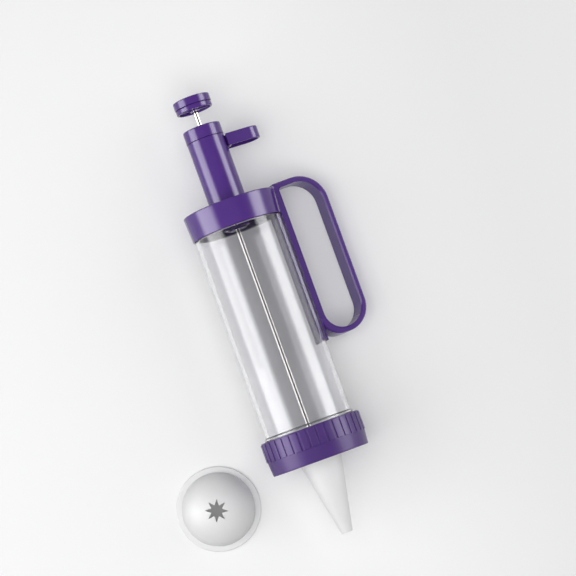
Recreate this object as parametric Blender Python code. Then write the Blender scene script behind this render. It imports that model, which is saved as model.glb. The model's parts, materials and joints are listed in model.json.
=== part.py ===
"""Cake decorating syringe lying on a table, with its spare star tip beside it.

The syringe is modelled along its own axis: local +Z runs from the nozzle to the thumb knob, local +X
points from the axis to the hand loop, and local z = 0 is the front face of the screw ring. An empty then
lays it down, so that the collar, the ring and the hand loop all touch the table (world z = 0). The world
origin is the middle of the space that the syringe and the spare tip take up on the table.
"""

import math

import bmesh
import bpy
from mathutils import Matrix, Vector

MM = 0.001

# Clearances shared by pieces that touch or run in each other
GAP = 0.3 * MM
OVERRUN = 1.0 * MM
SINK = 0.45 * MM

# Facets
ROUND = 36
SMALL_ROUND = 20
WIRE_SIDES = 5
CORNER_STEPS = 7
SMOOTH_ANGLE = math.radians(32)

# Barrel
BARREL_RADIUS = 30.0 * MM
BARREL_WALL = 2.6 * MM
BARREL_SHOWN = 140.7 * MM
NECK_WALL = 1.2 * MM
NECK_END_GAP = 0.7 * MM
BEAD_PROUD = 0.9 * MM
BEAD_HEIGHT = 1.3 * MM
BARREL_EDGE = 0.5 * MM

# Threads, the same pitch at both ends of the barrel
THREAD_PITCH = 4.0 * MM
THREAD_TURNS = 1.25
UNSCREW_TURNS = 2
THREAD_ROOT_WIDTH = 1.5 * MM
THREAD_CREST_WIDTH = 0.7 * MM
THREAD_FADE_SHARE = 0.12
THREAD_END_SHARE = 0.05
THREAD_STEPS = ROUND
NECK_THREAD_HEIGHT = 1.0 * MM
RING_THREAD_HEIGHT = 1.3 * MM
THREAD_CREST_GAP = 0.45 * MM
NECK_THREAD_INSET = 1.05 * MM
FOOT_THREAD_START = 4.6 * MM

# Screw ring
RING_WALL = 2.75 * MM
RING_BAND_STEP = 0.5 * MM
RING_BAND_TAPER = 0.8 * MM
RING_HEIGHT = 23.1 * MM
RING_BAND_HEIGHT = 9.4 * MM
RING_FLOOR = 2.4 * MM
RING_EDGE = 0.7 * MM
PAD_COUNT = 36
PAD_WIDTH_SHARE = 0.76
PAD_PROUD = 0.6 * MM

# The base that both tips share: a flange clamped by the ring, and a short hub that fills the ring's mouth
TIP_FLANGE_INSET = 1.3 * MM
TIP_FLANGE_WIDTH = 3.7 * MM
TIP_FLANGE_THICK = 2.0 * MM
TIP_WALL = 1.5 * MM
TIP_EDGE = 0.4 * MM

# Round tip
CONE_RADIUS = 14.1 * MM
OUTLET_RADIUS = 3.85 * MM
OUTLET_WALL = 0.7 * MM
CONE_LENGTH = 50.4 * MM
SHOULDER_RECESS = 0.9 * MM

# Star tip, which lies beside the syringe
DOME_HEIGHT = 22.5 * MM
DOME_INSET = 0.1 * MM
DOME_STEPS = 7
STAR_POINTS = 8
STAR_OUTER_RADIUS = 8.2 * MM
STAR_INNER_RADIUS = 3.8 * MM
STAR_TURN = math.radians(-20)
STAR_TIP_CLEAR = 14.3 * MM
STAR_TIP_FORWARD = 8.3 * MM

# Collar and its plate
COLLAR_WALL = 1.95 * MM
COLLAR_TAPER = 1.0 * MM
COLLAR_HEIGHT = 17.4 * MM
COLLAR_PLATE = 3.3 * MM
COLLAR_EDGE = 0.8 * MM
COLLAR_FOOT_EDGE = 0.3 * MM

# Tower that the thumb lever slides in
TOWER_RADIUS = 12.8 * MM
TOWER_WALL = 1.8 * MM
TOWER_HEIGHT = 54.4 * MM
TOWER_FLOOR = 2.8 * MM
TOWER_FILLET = 0.8 * MM
SLOT_CLEARANCE = 0.6 * MM
CAP_PROUD = 0.2 * MM
CAP_HEIGHT = 8.4 * MM
CAP_PLATE = 2.2 * MM
CAP_PLUG = 3.6 * MM
CAP_PLUG_WALL = 1.0 * MM
CAP_EDGE = 0.7 * MM

# Guide boss under the collar's plate, and the rubber ring that grips the rod in it
BOSS_RADIUS = 9.0 * MM
GRIP_THICK = 2.4 * MM
GRIP_RADIUS = 4.6 * MM
RETAINER_THICK = 1.4 * MM
RETAINER_FLANGE_RADIUS = 6.6 * MM
RETAINER_FLANGE_THICK = 0.8 * MM

# Hand loop: one flat strap, its inner bar along the barrel and hollowed to follow it
STRAP_WIDTH = 16.0 * MM
STRAP_THICK = 3.6 * MM
LOOP_GAP = 27.9 * MM
LOOP_TOP_RISE = 3.5 * MM
LOOP_ROOT_DIP = 0.7 * MM
LOOP_ROOT_ROUND = 1.2 * MM
LOOP_FOOT_DROP = 89.3 * MM
LOOP_TOP_ROUND_SHARE = 0.581
LOOP_FOOT_ROUND_SHARE = 0.523
LOOP_NEAR_ROUND_SHARE = 0.462
LOOP_HEEL_ROUND_SHARE = 0.413
LOOP_CORNER_FILLET = 2.0 * MM
BAR_CLEARANCE = 1.2 * MM
BAR_TAIL = 1.2 * MM
TAIL_THICK = 1.2 * MM
STRAP_EDGE = 1.0 * MM

# Thumb lever
LEVER_LENGTH = 23.3 * MM
LEVER_WIDTH = 16.8 * MM
LEVER_HEIGHT = 8.4 * MM
LEVER_WALL = 1.6 * MM
LEVER_DROP = 1.0 * MM
LEVER_TRAVEL = 20.0 * MM
LEVER_STANDOFF = 1.2 * MM
LEVER_EDGE = 0.6 * MM
NECK_WIDTH = 7.0 * MM

# Clutch plate and return spring under the lever's hub
PLATE_THICK = 1.5 * MM
PLATE_CLEARANCE = 2.6 * MM
PLATE_TILT = math.radians(8)
PLATE_HOLE_SLACK = 0.4 * MM
SPRING_WIRE = 0.8 * MM
SPRING_RADIUS = 5.2 * MM
SPRING_TURNS = 7
SPRING_STEPS = 10
SEAT_WASHER_MARGIN = 2.4 * MM
SEAT_WASHER_THICK = 1.0 * MM

# Plunger rod and knob
ROD_RADIUS = 1.6 * MM
ROD_CLEARANCE = 0.3 * MM
KNOB_RADIUS = 12.7 * MM
KNOB_HEADROOM = 0.9 * MM
KNOB_GAP = 12.1 * MM
KNOB_STEP = 0.3 * MM
KNOB_SKIRT_HEIGHT = 3.1 * MM
KNOB_GROOVE = 0.4 * MM
KNOB_WALL = 1.6 * MM
KNOB_DECK = 1.3 * MM
KNOB_HUB_RADIUS = 3.6 * MM
KNOB_SPIGOT = 2.4 * MM
KNOB_SPIGOT_WALL = 1.2 * MM
KNOB_EDGE = 0.5 * MM
KNOB_RIBS = 4
KNOB_RIB_THICK = 1.2 * MM
NUT_FLATS = 5.5 * MM
NUT_THICK = 2.2 * MM
ROD_END = 0.6 * MM

# Piston
PISTON_RISE = 3.6 * MM
PISTON_THICK = 3.2 * MM
PISTON_HUB_RADIUS = 6.5 * MM
PISTON_HUB_HEIGHT = 3.0 * MM
SEAL_HEIGHT = 6.0 * MM
SEAL_DEPTH = 3.1 * MM
SEAL_CLEARANCE = 0.3 * MM
SEAL_LIP = 1.2 * MM
WASHER_RADIUS = 5.0 * MM
WASHER_THICK = 0.8 * MM

# Radii that several pieces share
BORE_RADIUS = BARREL_RADIUS - BARREL_WALL
NECK_ROOT_RADIUS = BORE_RADIUS + NECK_WALL
COLLAR_INNER_RADIUS = NECK_ROOT_RADIUS + NECK_THREAD_HEIGHT + THREAD_CREST_GAP
COLLAR_RADIUS = COLLAR_INNER_RADIUS + COLLAR_WALL
RING_INNER_RADIUS = BARREL_RADIUS + RING_THREAD_HEIGHT + THREAD_CREST_GAP
RING_RADIUS = RING_INNER_RADIUS + RING_WALL
TIP_FLANGE_RADIUS = BARREL_RADIUS - TIP_FLANGE_INSET
TIP_HUB_RADIUS = TIP_FLANGE_RADIUS - TIP_FLANGE_WIDTH
TOWER_BORE_RADIUS = TOWER_RADIUS - TOWER_WALL
CAP_RADIUS = TOWER_RADIUS + CAP_PROUD
CAP_PLUG_RADIUS = TOWER_BORE_RADIUS - GAP
LEVER_HUB_RADIUS = CAP_PLUG_RADIUS - CAP_PLUG_WALL - GAP
PLATE_RADIUS = TOWER_BORE_RADIUS - PLATE_CLEARANCE
ROD_HOLE_RADIUS = ROD_RADIUS + ROD_CLEARANCE
PISTON_DISC_RADIUS = BORE_RADIUS - SEAL_CLEARANCE - SEAL_DEPTH

# Distances from the axis in the plane of the hand loop
BAR_INNER = BARREL_RADIUS + BAR_CLEARANCE
BAR_OUTER = BAR_INNER + STRAP_THICK
LOOP_REACH = BAR_OUTER + LOOP_GAP + STRAP_THICK
BAR_ROOT = math.sqrt(BAR_INNER ** 2 - (STRAP_WIDTH / 2) ** 2) - SINK
LOOP_TOP_ROUND = LOOP_GAP * LOOP_TOP_ROUND_SHARE
LOOP_FOOT_ROUND = LOOP_GAP * LOOP_FOOT_ROUND_SHARE
LOOP_NEAR_ROUND = LOOP_GAP * LOOP_NEAR_ROUND_SHARE
LOOP_HEEL_ROUND = (LOOP_GAP + STRAP_THICK) * LOOP_HEEL_ROUND_SHARE
LEVER_ROOT = TOWER_RADIUS + LEVER_STANDOFF
LEVER_REACH = LEVER_ROOT + LEVER_LENGTH
STAR_TIP_ASIDE = RING_RADIUS + STAR_TIP_CLEAR + TIP_FLANGE_RADIUS

# Levels along the syringe's axis
RING_TOP = RING_HEIGHT
COLLAR_FOOT = RING_TOP + BARREL_SHOWN
COLLAR_TOP = COLLAR_FOOT + COLLAR_HEIGHT
TOWER_TOP = COLLAR_TOP + TOWER_HEIGHT
CAP_FOOT = TOWER_TOP - CAP_HEIGHT
KNOB_FOOT = TOWER_TOP + KNOB_GAP
KNOB_DECK_TOP = KNOB_FOOT + KNOB_SKIRT_HEIGHT
ROD_TOP = KNOB_DECK_TOP + GAP + NUT_THICK + ROD_END
KNOB_TOP = ROD_TOP + KNOB_HEADROOM + KNOB_WALL
FLANGE_FRONT = RING_FLOOR + GAP
BARREL_FOOT = FLANGE_FRONT + TIP_FLANGE_THICK + GAP
FOOT_THREAD_LOW = BARREL_FOOT + FOOT_THREAD_START
NECK_TOP = COLLAR_TOP - COLLAR_PLATE - NECK_END_GAP
NECK_THREAD_LOW = NECK_TOP - NECK_THREAD_INSET - THREAD_ROOT_WIDTH / 2 - THREAD_PITCH * THREAD_TURNS
PISTON_FOOT = BARREL_FOOT + PISTON_RISE
PISTON_NUT_LOW = PISTON_FOOT - GAP - WASHER_THICK - GAP - NUT_THICK
PISTON_TOP = PISTON_FOOT + PISTON_THICK + PISTON_HUB_HEIGHT
LEVER_TOP = CAP_FOOT - LEVER_DROP
LEVER_FOOT = LEVER_TOP - LEVER_HEIGHT
TOWER_BORE_FOOT = COLLAR_TOP + TOWER_FLOOR
LOOP_TOP = COLLAR_TOP + LOOP_TOP_RISE
LOOP_FOOT = COLLAR_FOOT - LOOP_FOOT_DROP

# The way the syringe lies on the table
RING_CONTACT = RING_TOP - RING_EDGE
COLLAR_CONTACT = COLLAR_TOP - COLLAR_EDGE
TILT = math.atan2(RING_RADIUS - COLLAR_RADIUS, COLLAR_CONTACT - RING_CONTACT)
LOOP_CONTACT = LOOP_TOP - STRAP_THICK - LOOP_TOP_ROUND


def axis_height(z):
    """Height of the syringe's axis over the table at local z."""
    return RING_RADIUS * math.cos(TILT) + (RING_CONTACT - z) * math.sin(TILT)


def loop_droop():
    """Angle below the horizontal at which the loop's outer corner meets the table."""
    half = STRAP_WIDTH / 2
    return math.asin(axis_height(LOOP_CONTACT) / math.hypot(LOOP_REACH, half)) - math.atan2(half, LOOP_REACH)


DROOP = loop_droop()


def footprint_middle():
    """Middle of the table area taken up, from the foot of the axis at local z = 0."""
    right = LOOP_REACH * math.cos(DROOP) + STRAP_WIDTH / 2 * math.sin(DROOP)
    left = -STAR_TIP_ASIDE - TIP_FLANGE_RADIUS
    far = KNOB_TOP * math.cos(TILT) + (KNOB_RADIUS - KNOB_EDGE) * math.sin(TILT)
    near = -CONE_LENGTH * math.cos(TILT) - OUTLET_RADIUS * math.sin(TILT)
    return Vector(((left + right) / 2, (far + near) / 2, 0))


# Materials

def material(name, colour, roughness, metallic=0.0, transmission=0.0):
    mat = bpy.data.materials.new(name)
    mat.use_nodes = True
    shader = mat.node_tree.nodes["Principled BSDF"]
    shader.inputs["Base Color"].default_value = (*colour, 1.0)
    shader.inputs["Roughness"].default_value = roughness
    shader.inputs["Metallic"].default_value = metallic
    shader.inputs["Transmission Weight"].default_value = transmission
    mat.diffuse_color = (*colour, 1.0)
    return mat


# Mesh helpers

def finish_mesh(bm, name):
    """Turns a bmesh into a named object with outward faces."""
    bmesh.ops.remove_doubles(bm, verts=bm.verts, dist=MM / 1000)
    bmesh.ops.recalc_face_normals(bm, faces=bm.faces)
    mesh = bpy.data.meshes.new(name)
    bm.to_mesh(mesh)
    bm.free()
    obj = bpy.data.objects.new(name, mesh)
    bpy.context.scene.collection.objects.link(obj)
    return obj


def turned(name, outline, steps=ROUND):
    """Solid turned round the Z axis from a closed outline of (radius, z) points."""
    bm = bmesh.new()
    verts = [bm.verts.new((radius, 0, z)) for radius, z in outline]
    edges = []
    for start, end in zip(verts, verts[1:] + verts[:1]):
        if start.co.x > 0 or end.co.x > 0:
            edges.append(bm.edges.new((start, end)))
    full = 2 * math.pi
    bmesh.ops.spin(bm, geom=verts + edges, axis=(0, 0, 1), angle=full, steps=steps, use_duplicate=False)
    return finish_mesh(bm, name)


def prism(name, outline, low, high, place=None):
    """Solid with a flat outline of (x, y) points, extruded from low to high, then moved by a matrix."""
    bm = bmesh.new()
    face = bm.faces.new([bm.verts.new((x, y, low)) for x, y in outline])
    grown = bmesh.ops.extrude_face_region(bm, geom=[face])
    top = [v for v in grown["geom"] if isinstance(v, bmesh.types.BMVert)]
    bmesh.ops.translate(bm, verts=top, vec=(0, 0, high - low))
    if place is not None:
        bmesh.ops.transform(bm, matrix=place, verts=bm.verts)
    return finish_mesh(bm, name)


def box(name, low, high):
    """Block between two corners."""
    outline = [(low[0], low[1]), (high[0], low[1]), (high[0], high[1]), (low[0], high[1])]
    return prism(name, outline, low[2], high[2])


def rounded(corners, steps=CORNER_STEPS):
    """Closed outline through (x, y, radius) corners, each rounded by an arc of its radius."""
    points = []
    for i, (x, y, radius) in enumerate(corners):
        here = Vector((x, y))
        if radius <= 0:
            points.append((x, y))
            continue
        back = (Vector(corners[i - 1][:2]) - here).normalized()
        ahead = (Vector(corners[(i + 1) % len(corners)][:2]) - here).normalized()
        half = back.angle(ahead) / 2
        centre = here + (back + ahead).normalized() * (radius / math.sin(half))
        start = here + back * (radius / math.tan(half)) - centre
        end = here + ahead * (radius / math.tan(half)) - centre
        sweep = start.angle_signed(end)
        for k in range(steps + 1):
            arm = Matrix.Rotation(-sweep * k / steps, 2) @ start
            points.append(tuple(centre + arm))
    return points


def polygon(count, radius, start=0.0):
    """Regular outline of (x, y) points."""
    turns = [start + 2 * math.pi * i / count for i in range(count)]
    return [(radius * math.cos(turn), radius * math.sin(turn)) for turn in turns]


def coil(name, radius, pitch, turns, steps, low, phase, section):
    """Solid swept along a right-hand helix.

    section(share) gives the section's (outward, up) offsets at a share of the helix's length.
    """
    bm = bmesh.new()
    count = round(turns * steps)
    rings = []
    for i in range(count + 1):
        angle = phase + 2 * math.pi * i / steps
        ring = []
        for outward, up in section(i / count):
            reach = radius + outward
            level = low + pitch * i / steps + up
            ring.append(bm.verts.new((reach * math.cos(angle), reach * math.sin(angle), level)))
        rings.append(ring)
    sides = len(rings[0])
    for first, second in zip(rings, rings[1:]):
        for k in range(sides):
            bm.faces.new((first[k], first[(k + 1) % sides], second[(k + 1) % sides], second[k]))
    bm.faces.new(rings[0])
    bm.faces.new(rings[-1])
    return finish_mesh(bm, name)


def least_gap(coil_obj, points_per_turn):
    """Least distance between points of a coil's mesh that lie half a turn or more apart."""
    points = [vertex.co for vertex in coil_obj.data.vertices]
    apart = points_per_turn // 2
    return min((a - b).length for i, a in enumerate(points) for b in points[i + apart:])


def combine(target, other, operation):
    """Joins or cuts two solids with the exact Boolean and removes the second."""
    step = target.modifiers.new(operation.lower(), "BOOLEAN")
    step.operation = operation
    step.solver = "EXACT"
    step.object = other
    bpy.context.view_layer.update()
    shape = target.evaluated_get(bpy.context.evaluated_depsgraph_get())
    mesh = bpy.data.meshes.new_from_object(shape)
    target.modifiers.clear()
    target.data = mesh
    bpy.data.objects.remove(other)
    return target


def join(target, *others):
    for other in others:
        combine(target, other, "UNION")
    return target


def cut(target, *others):
    for other in others:
        combine(target, other, "DIFFERENCE")
    return target


def soften(obj, width, angle=math.radians(50)):
    """Small chamfer along an object's sharp edges."""
    step = obj.modifiers.new("edge", "BEVEL")
    step.width = width
    step.segments = 1
    step.limit_method = "ANGLE"
    step.angle_limit = angle
    bpy.context.view_layer.update()
    shape = obj.evaluated_get(bpy.context.evaluated_depsgraph_get())
    mesh = bpy.data.meshes.new_from_object(shape)
    obj.modifiers.clear()
    obj.data = mesh
    return obj


def dress(obj, mat, parent):
    """Gives a finished node its material, its shading and its parent."""
    obj.data.name = obj.name
    obj.data.materials.clear()
    obj.data.materials.append(mat)
    obj.data.shade_smooth()
    obj.data.set_sharp_from_angle(angle=SMOOTH_ANGLE)
    obj.parent = parent
    return obj


def joint_empty(name, parent, z=0.0):
    """Empty on the syringe's axis that carries the pieces of one moving body."""
    empty = bpy.data.objects.new(name, None)
    empty.empty_display_size = KNOB_RADIUS
    empty.location = (0, 0, z)
    empty.parent = parent
    bpy.context.scene.collection.objects.link(empty)
    return empty


# Threads

def thread_ridge(name, root, crest, low, pitch_share):
    """Helical ridge from a wall at radius root out or in to radius crest, fading at both ends.

    pitch_share says how far past the threads' common helix the ridge lies, as a share of the pitch.
    """
    side = 1 if crest > root else -1
    start = 2 * math.pi * (low - pitch_share * THREAD_PITCH) / THREAD_PITCH

    def section(share):
        fade = min(1.0, share / THREAD_FADE_SHARE, (1 - share) / THREAD_FADE_SHARE)
        height = (crest - root) * max(fade, THREAD_END_SHARE)
        return [
            (-side * SINK, -THREAD_ROOT_WIDTH / 2),
            (height, -THREAD_CREST_WIDTH / 2),
            (height, THREAD_CREST_WIDTH / 2),
            (-side * SINK, THREAD_ROOT_WIDTH / 2),
        ]

    return coil(name, root, THREAD_PITCH, THREAD_TURNS, THREAD_STEPS, low, start, section)


def mating_start(outer_start, direction):
    """Start of the ridge that lets go of a given one after UNSCREW_TURNS, moving along direction."""
    run = THREAD_PITCH * THREAD_TURNS + THREAD_ROOT_WIDTH
    return outer_start - direction * (UNSCREW_TURNS * THREAD_PITCH - run)


# Pieces of the barrel end

def make_barrel():
    """Clear tube: a threaded neck inside the collar and a threaded foot inside the screw ring."""
    shoulder = COLLAR_FOOT - GAP
    bead_low = RING_TOP + GAP
    bead_radius = BARREL_RADIUS + BEAD_PROUD
    outline = [
        (BORE_RADIUS, BARREL_FOOT),
        (BARREL_RADIUS - BARREL_EDGE, BARREL_FOOT),
        (BARREL_RADIUS, BARREL_FOOT + BARREL_EDGE),
        (BARREL_RADIUS, bead_low),
        (bead_radius, bead_low),
        (bead_radius, bead_low + BEAD_HEIGHT),
        (BARREL_RADIUS, bead_low + BEAD_HEIGHT + BARREL_EDGE),
        (BARREL_RADIUS, shoulder - BARREL_EDGE),
        (BARREL_RADIUS - BARREL_EDGE, shoulder),
        (NECK_ROOT_RADIUS, shoulder),
        (NECK_ROOT_RADIUS, NECK_TOP - BARREL_EDGE),
        (NECK_ROOT_RADIUS - BARREL_EDGE, NECK_TOP),
        (BORE_RADIUS, NECK_TOP),
    ]
    barrel = turned("barrel", outline)
    neck_crest = NECK_ROOT_RADIUS + NECK_THREAD_HEIGHT
    foot_crest = BARREL_RADIUS + RING_THREAD_HEIGHT
    neck = thread_ridge("neck_thread", NECK_ROOT_RADIUS, neck_crest, NECK_THREAD_LOW, 0)
    foot = thread_ridge("foot_thread", BARREL_RADIUS, foot_crest, FOOT_THREAD_LOW, 0)
    return join(barrel, neck, foot)


def make_screw_ring():
    """Threaded ring with gripping pads, which clamps a tip's flange to the barrel."""
    mouth = TIP_HUB_RADIUS + GAP
    groove = RING_RADIUS - PAD_PROUD
    band = RING_RADIUS - RING_BAND_STEP
    face = band - RING_BAND_TAPER
    outline = [
        (mouth, 0),
        (face - RING_EDGE, 0),
        (face, RING_EDGE),
        (band, RING_BAND_HEIGHT - RING_EDGE),
        (groove, RING_BAND_HEIGHT),
        (groove, RING_TOP - RING_EDGE),
        (groove - RING_EDGE, RING_TOP),
        (RING_INNER_RADIUS, RING_TOP),
        (RING_INNER_RADIUS, RING_FLOOR),
        (mouth, RING_FLOOR),
    ]
    ring = turned("screw_ring", outline)
    crest = BARREL_RADIUS + THREAD_CREST_GAP
    ridge = thread_ridge("ring_thread", RING_INNER_RADIUS, crest, mating_start(FOOT_THREAD_LOW, -1), 1 / 2)
    return join(ring, ring_pads(), ridge)


def ring_pads():
    """The raised pads round the ring's upper part, as one mesh of separate blocks."""
    bm = bmesh.new()
    half = math.pi / PAD_COUNT * PAD_WIDTH_SHARE
    inner = RING_RADIUS - PAD_PROUD - SINK
    for k in range(PAD_COUNT):
        middle = 2 * math.pi * k / PAD_COUNT
        verts = []
        for reach, turn in [(inner, -half), (RING_RADIUS, -half), (RING_RADIUS, half), (inner, half)]:
            angle = middle + turn
            verts.append(bm.verts.new((reach * math.cos(angle), reach * math.sin(angle), RING_BAND_HEIGHT)))
        face = bm.faces.new(verts)
        grown = bmesh.ops.extrude_face_region(bm, geom=[face])
        top = [v for v in grown["geom"] if isinstance(v, bmesh.types.BMVert)]
        bmesh.ops.translate(bm, verts=top, vec=(0, 0, RING_CONTACT - RING_BAND_HEIGHT))
    return finish_mesh(bm, "ring_pads")


def make_round_tip():
    """White nozzle: flange, hub, shallow shoulder and a long cone with a round outlet."""
    back = FLANGE_FRONT + TIP_FLANGE_THICK
    shoulder = SHOULDER_RECESS
    slope = (CONE_RADIUS - OUTLET_RADIUS) / CONE_LENGTH
    outlet_bore = OUTLET_RADIUS - OUTLET_WALL
    inner_cone = CONE_RADIUS - TIP_WALL
    outline = [
        (TIP_HUB_RADIUS - TIP_WALL, back),
        (TIP_FLANGE_RADIUS - TIP_EDGE, back),
        (TIP_FLANGE_RADIUS, back - TIP_EDGE),
        (TIP_FLANGE_RADIUS, FLANGE_FRONT),
        (TIP_HUB_RADIUS, FLANGE_FRONT),
        (TIP_HUB_RADIUS, shoulder + TIP_EDGE),
        (TIP_HUB_RADIUS - TIP_EDGE, shoulder),
        (CONE_RADIUS + slope * shoulder, shoulder),
        (OUTLET_RADIUS, -CONE_LENGTH),
        (outlet_bore, -CONE_LENGTH),
        (inner_cone, shoulder + TIP_WALL),
        (TIP_HUB_RADIUS - TIP_WALL, shoulder + TIP_WALL),
    ]
    return turned("round_tip", outline)


def dome_arc(radius, height, low):
    """Points of a quarter ellipse from its rim at low to its crown, which ends on the axis."""
    points = []
    for i in range(DOME_STEPS + 1):
        turn = math.pi / 2 * i / DOME_STEPS
        reach = radius * math.cos(turn) if i < DOME_STEPS else 0.0
        points.append((reach, low + height * math.sin(turn)))
    return points


def make_star_tip():
    """Spare tip, dome up: the same flange and hub, and a star-shaped outlet cut through the dome."""
    radius = TIP_HUB_RADIUS - DOME_INSET
    rise = DOME_HEIGHT - TIP_FLANGE_THICK
    outer = dome_arc(radius, rise, TIP_FLANGE_THICK)
    inner = dome_arc(radius - TIP_WALL, rise - TIP_WALL, TIP_FLANGE_THICK)
    flange = [
        (radius - TIP_WALL, 0),
        (TIP_FLANGE_RADIUS, 0),
        (TIP_FLANGE_RADIUS, TIP_FLANGE_THICK - TIP_EDGE),
        (TIP_FLANGE_RADIUS - TIP_EDGE, TIP_FLANGE_THICK),
    ]
    tip = turned("star_tip", flange + outer + inner[::-1])
    star = []
    for i in range(2 * STAR_POINTS):
        reach = STAR_INNER_RADIUS if i % 2 else STAR_OUTER_RADIUS
        turn = STAR_TURN + math.pi * i / STAR_POINTS
        star.append((reach * math.cos(turn), reach * math.sin(turn)))
    low = DOME_HEIGHT / 2
    return cut(tip, prism("star_cutter", star, low, DOME_HEIGHT + OVERRUN))


# Pieces of the handle end

def make_handle_body():
    """One moulding: collar, plate, tower, guide boss and the flat hand loop."""
    plate_low = COLLAR_TOP - COLLAR_PLATE
    grip_seat = COLLAR_FOOT + RETAINER_THICK + GAP + GRIP_THICK + GAP
    pocket = GRIP_RADIUS + GAP
    foot_radius = COLLAR_RADIUS - COLLAR_TAPER
    outline = [
        (BOSS_RADIUS, COLLAR_FOOT),
        (BOSS_RADIUS, plate_low),
        (COLLAR_INNER_RADIUS, plate_low),
        (COLLAR_INNER_RADIUS, COLLAR_FOOT),
        (foot_radius - COLLAR_FOOT_EDGE, COLLAR_FOOT),
        (foot_radius, COLLAR_FOOT + COLLAR_FOOT_EDGE),
        (COLLAR_RADIUS, COLLAR_CONTACT),
        (COLLAR_RADIUS - COLLAR_EDGE, COLLAR_TOP),
        (TOWER_RADIUS + TOWER_FILLET, COLLAR_TOP),
        (TOWER_RADIUS, COLLAR_TOP + TOWER_FILLET),
        (TOWER_RADIUS, CAP_FOOT - GAP),
        (TOWER_BORE_RADIUS, CAP_FOOT - GAP),
        (TOWER_BORE_RADIUS, TOWER_BORE_FOOT),
        (ROD_HOLE_RADIUS, TOWER_BORE_FOOT),
        (ROD_HOLE_RADIUS, grip_seat),
        (pocket, grip_seat),
        (pocket, COLLAR_FOOT),
    ]
    body = turned("handle_body", outline)
    crest = NECK_ROOT_RADIUS + THREAD_CREST_GAP
    ridge = thread_ridge("collar_thread", COLLAR_INNER_RADIUS, crest, mating_start(NECK_THREAD_LOW, 1), 1 / 2)
    join(body, hand_loop(), ridge)
    return cut(body, lever_slot())


def lever_slot():
    """Cutter for the slot in the tower's wall, open at the top where the cap closes it."""
    half = NECK_WIDTH / 2 + SLOT_CLEARANCE
    low = LEVER_FOOT - LEVER_TRAVEL - SLOT_CLEARANCE
    return box("slot_cutter", (0, -half, low), (TOWER_RADIUS + OVERRUN, half, CAP_FOOT + OVERRUN))


def heel_arc():
    """Outside of the strap's near lower corner, from the bar round to the foot."""
    points = []
    for k in range(CORNER_STEPS + 1):
        turn = math.pi / 2 * k / CORNER_STEPS
        out = LOOP_HEEL_ROUND * (1 - math.cos(turn))
        up = LOOP_HEEL_ROUND * (1 - math.sin(turn))
        points.append((BAR_INNER + out, LOOP_FOOT + up, 0))
    return points


def bar_tail():
    """Curved end of the bar past the strap's foot, still solid towards the axis."""
    low = LOOP_FOOT - BAR_TAIL
    high = LOOP_FOOT + LOOP_HEEL_ROUND + STRAP_THICK
    outer = BAR_INNER + TAIL_THICK
    half = STRAP_WIDTH / 2 - STRAP_EDGE / 2
    tail = turned("bar_tail", [(0, low), (outer, low), (outer, high), (0, high)])
    room = box("tail_room", (BAR_ROOT / 2, -half, low - OVERRUN), (LOOP_REACH, half, high + OVERRUN))
    return combine(tail, room, "INTERSECT")


def hand_loop():
    """Flat strap bent into a loop: outline in the plane of the axis, as wide as the strap."""
    root = COLLAR_INNER_RADIUS + SINK
    top_round = LOOP_TOP_ROUND + STRAP_THICK
    arch_end = LOOP_REACH - top_round
    outer = rounded([
        (BAR_ROOT, LOOP_FOOT + LOOP_HEEL_ROUND, 0),
        *heel_arc(),
        (LOOP_REACH, LOOP_FOOT, LOOP_FOOT_ROUND + STRAP_THICK),
        (LOOP_REACH, LOOP_TOP, top_round),
        (arch_end - LOOP_CORNER_FILLET, LOOP_TOP, 0),
        (root, LOOP_TOP - LOOP_ROOT_DIP, LOOP_ROOT_ROUND),
        (root, COLLAR_CONTACT, 0),
        (BAR_ROOT, COLLAR_CONTACT, 0),
    ])
    inner_reach = LOOP_REACH - STRAP_THICK
    inner_top = LOOP_TOP - STRAP_THICK
    inner_foot = LOOP_FOOT + STRAP_THICK
    window = rounded([
        (BAR_OUTER, inner_foot, LOOP_NEAR_ROUND),
        (inner_reach, inner_foot, LOOP_FOOT_ROUND),
        (inner_reach, inner_top, LOOP_TOP_ROUND),
        (arch_end, inner_top, 0),
        (BAR_OUTER, inner_top - LOOP_ROOT_DIP, LOOP_CORNER_FILLET),
    ])
    upright = Matrix.Rotation(math.radians(90), 4, "X")
    half = STRAP_WIDTH / 2
    strap = soften(prism("hand_loop", outer, -half, half, upright), STRAP_EDGE)
    hole = prism("loop_window", window, -half - OVERRUN, half + OVERRUN, upright)
    low = LOOP_FOOT - BAR_TAIL - OVERRUN
    follow = turned("barrel_room", [
        (0, low),
        (BAR_INNER, low),
        (BAR_INNER, COLLAR_FOOT),
        (root, COLLAR_FOOT),
        (root, COLLAR_CONTACT),
        (0, COLLAR_CONTACT),
    ])
    return cut(join(strap, bar_tail()), hole, follow)


def make_tower_cap():
    """Cap that closes the tower: a band as wide as the tower and a plug inside its bore."""
    hollow = CAP_PLUG_RADIUS - CAP_PLUG_WALL
    outline = [
        (ROD_HOLE_RADIUS, TOWER_TOP - CAP_PLATE),
        (hollow, TOWER_TOP - CAP_PLATE),
        (hollow, CAP_FOOT - CAP_PLUG),
        (CAP_PLUG_RADIUS, CAP_FOOT - CAP_PLUG),
        (CAP_PLUG_RADIUS, CAP_FOOT),
        (CAP_RADIUS, CAP_FOOT),
        (CAP_RADIUS, TOWER_TOP - CAP_EDGE),
        (CAP_RADIUS - CAP_EDGE, TOWER_TOP),
        (ROD_HOLE_RADIUS, TOWER_TOP),
    ]
    cap = turned("tower_cap", outline)
    half = NECK_WIDTH / 2 + SLOT_CLEARANCE
    low = CAP_FOOT - CAP_PLUG - OVERRUN
    return cut(cap, box("cap_notch", (0, -half, low), (CAP_RADIUS, half, CAP_FOOT - GAP / 2)))


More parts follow.
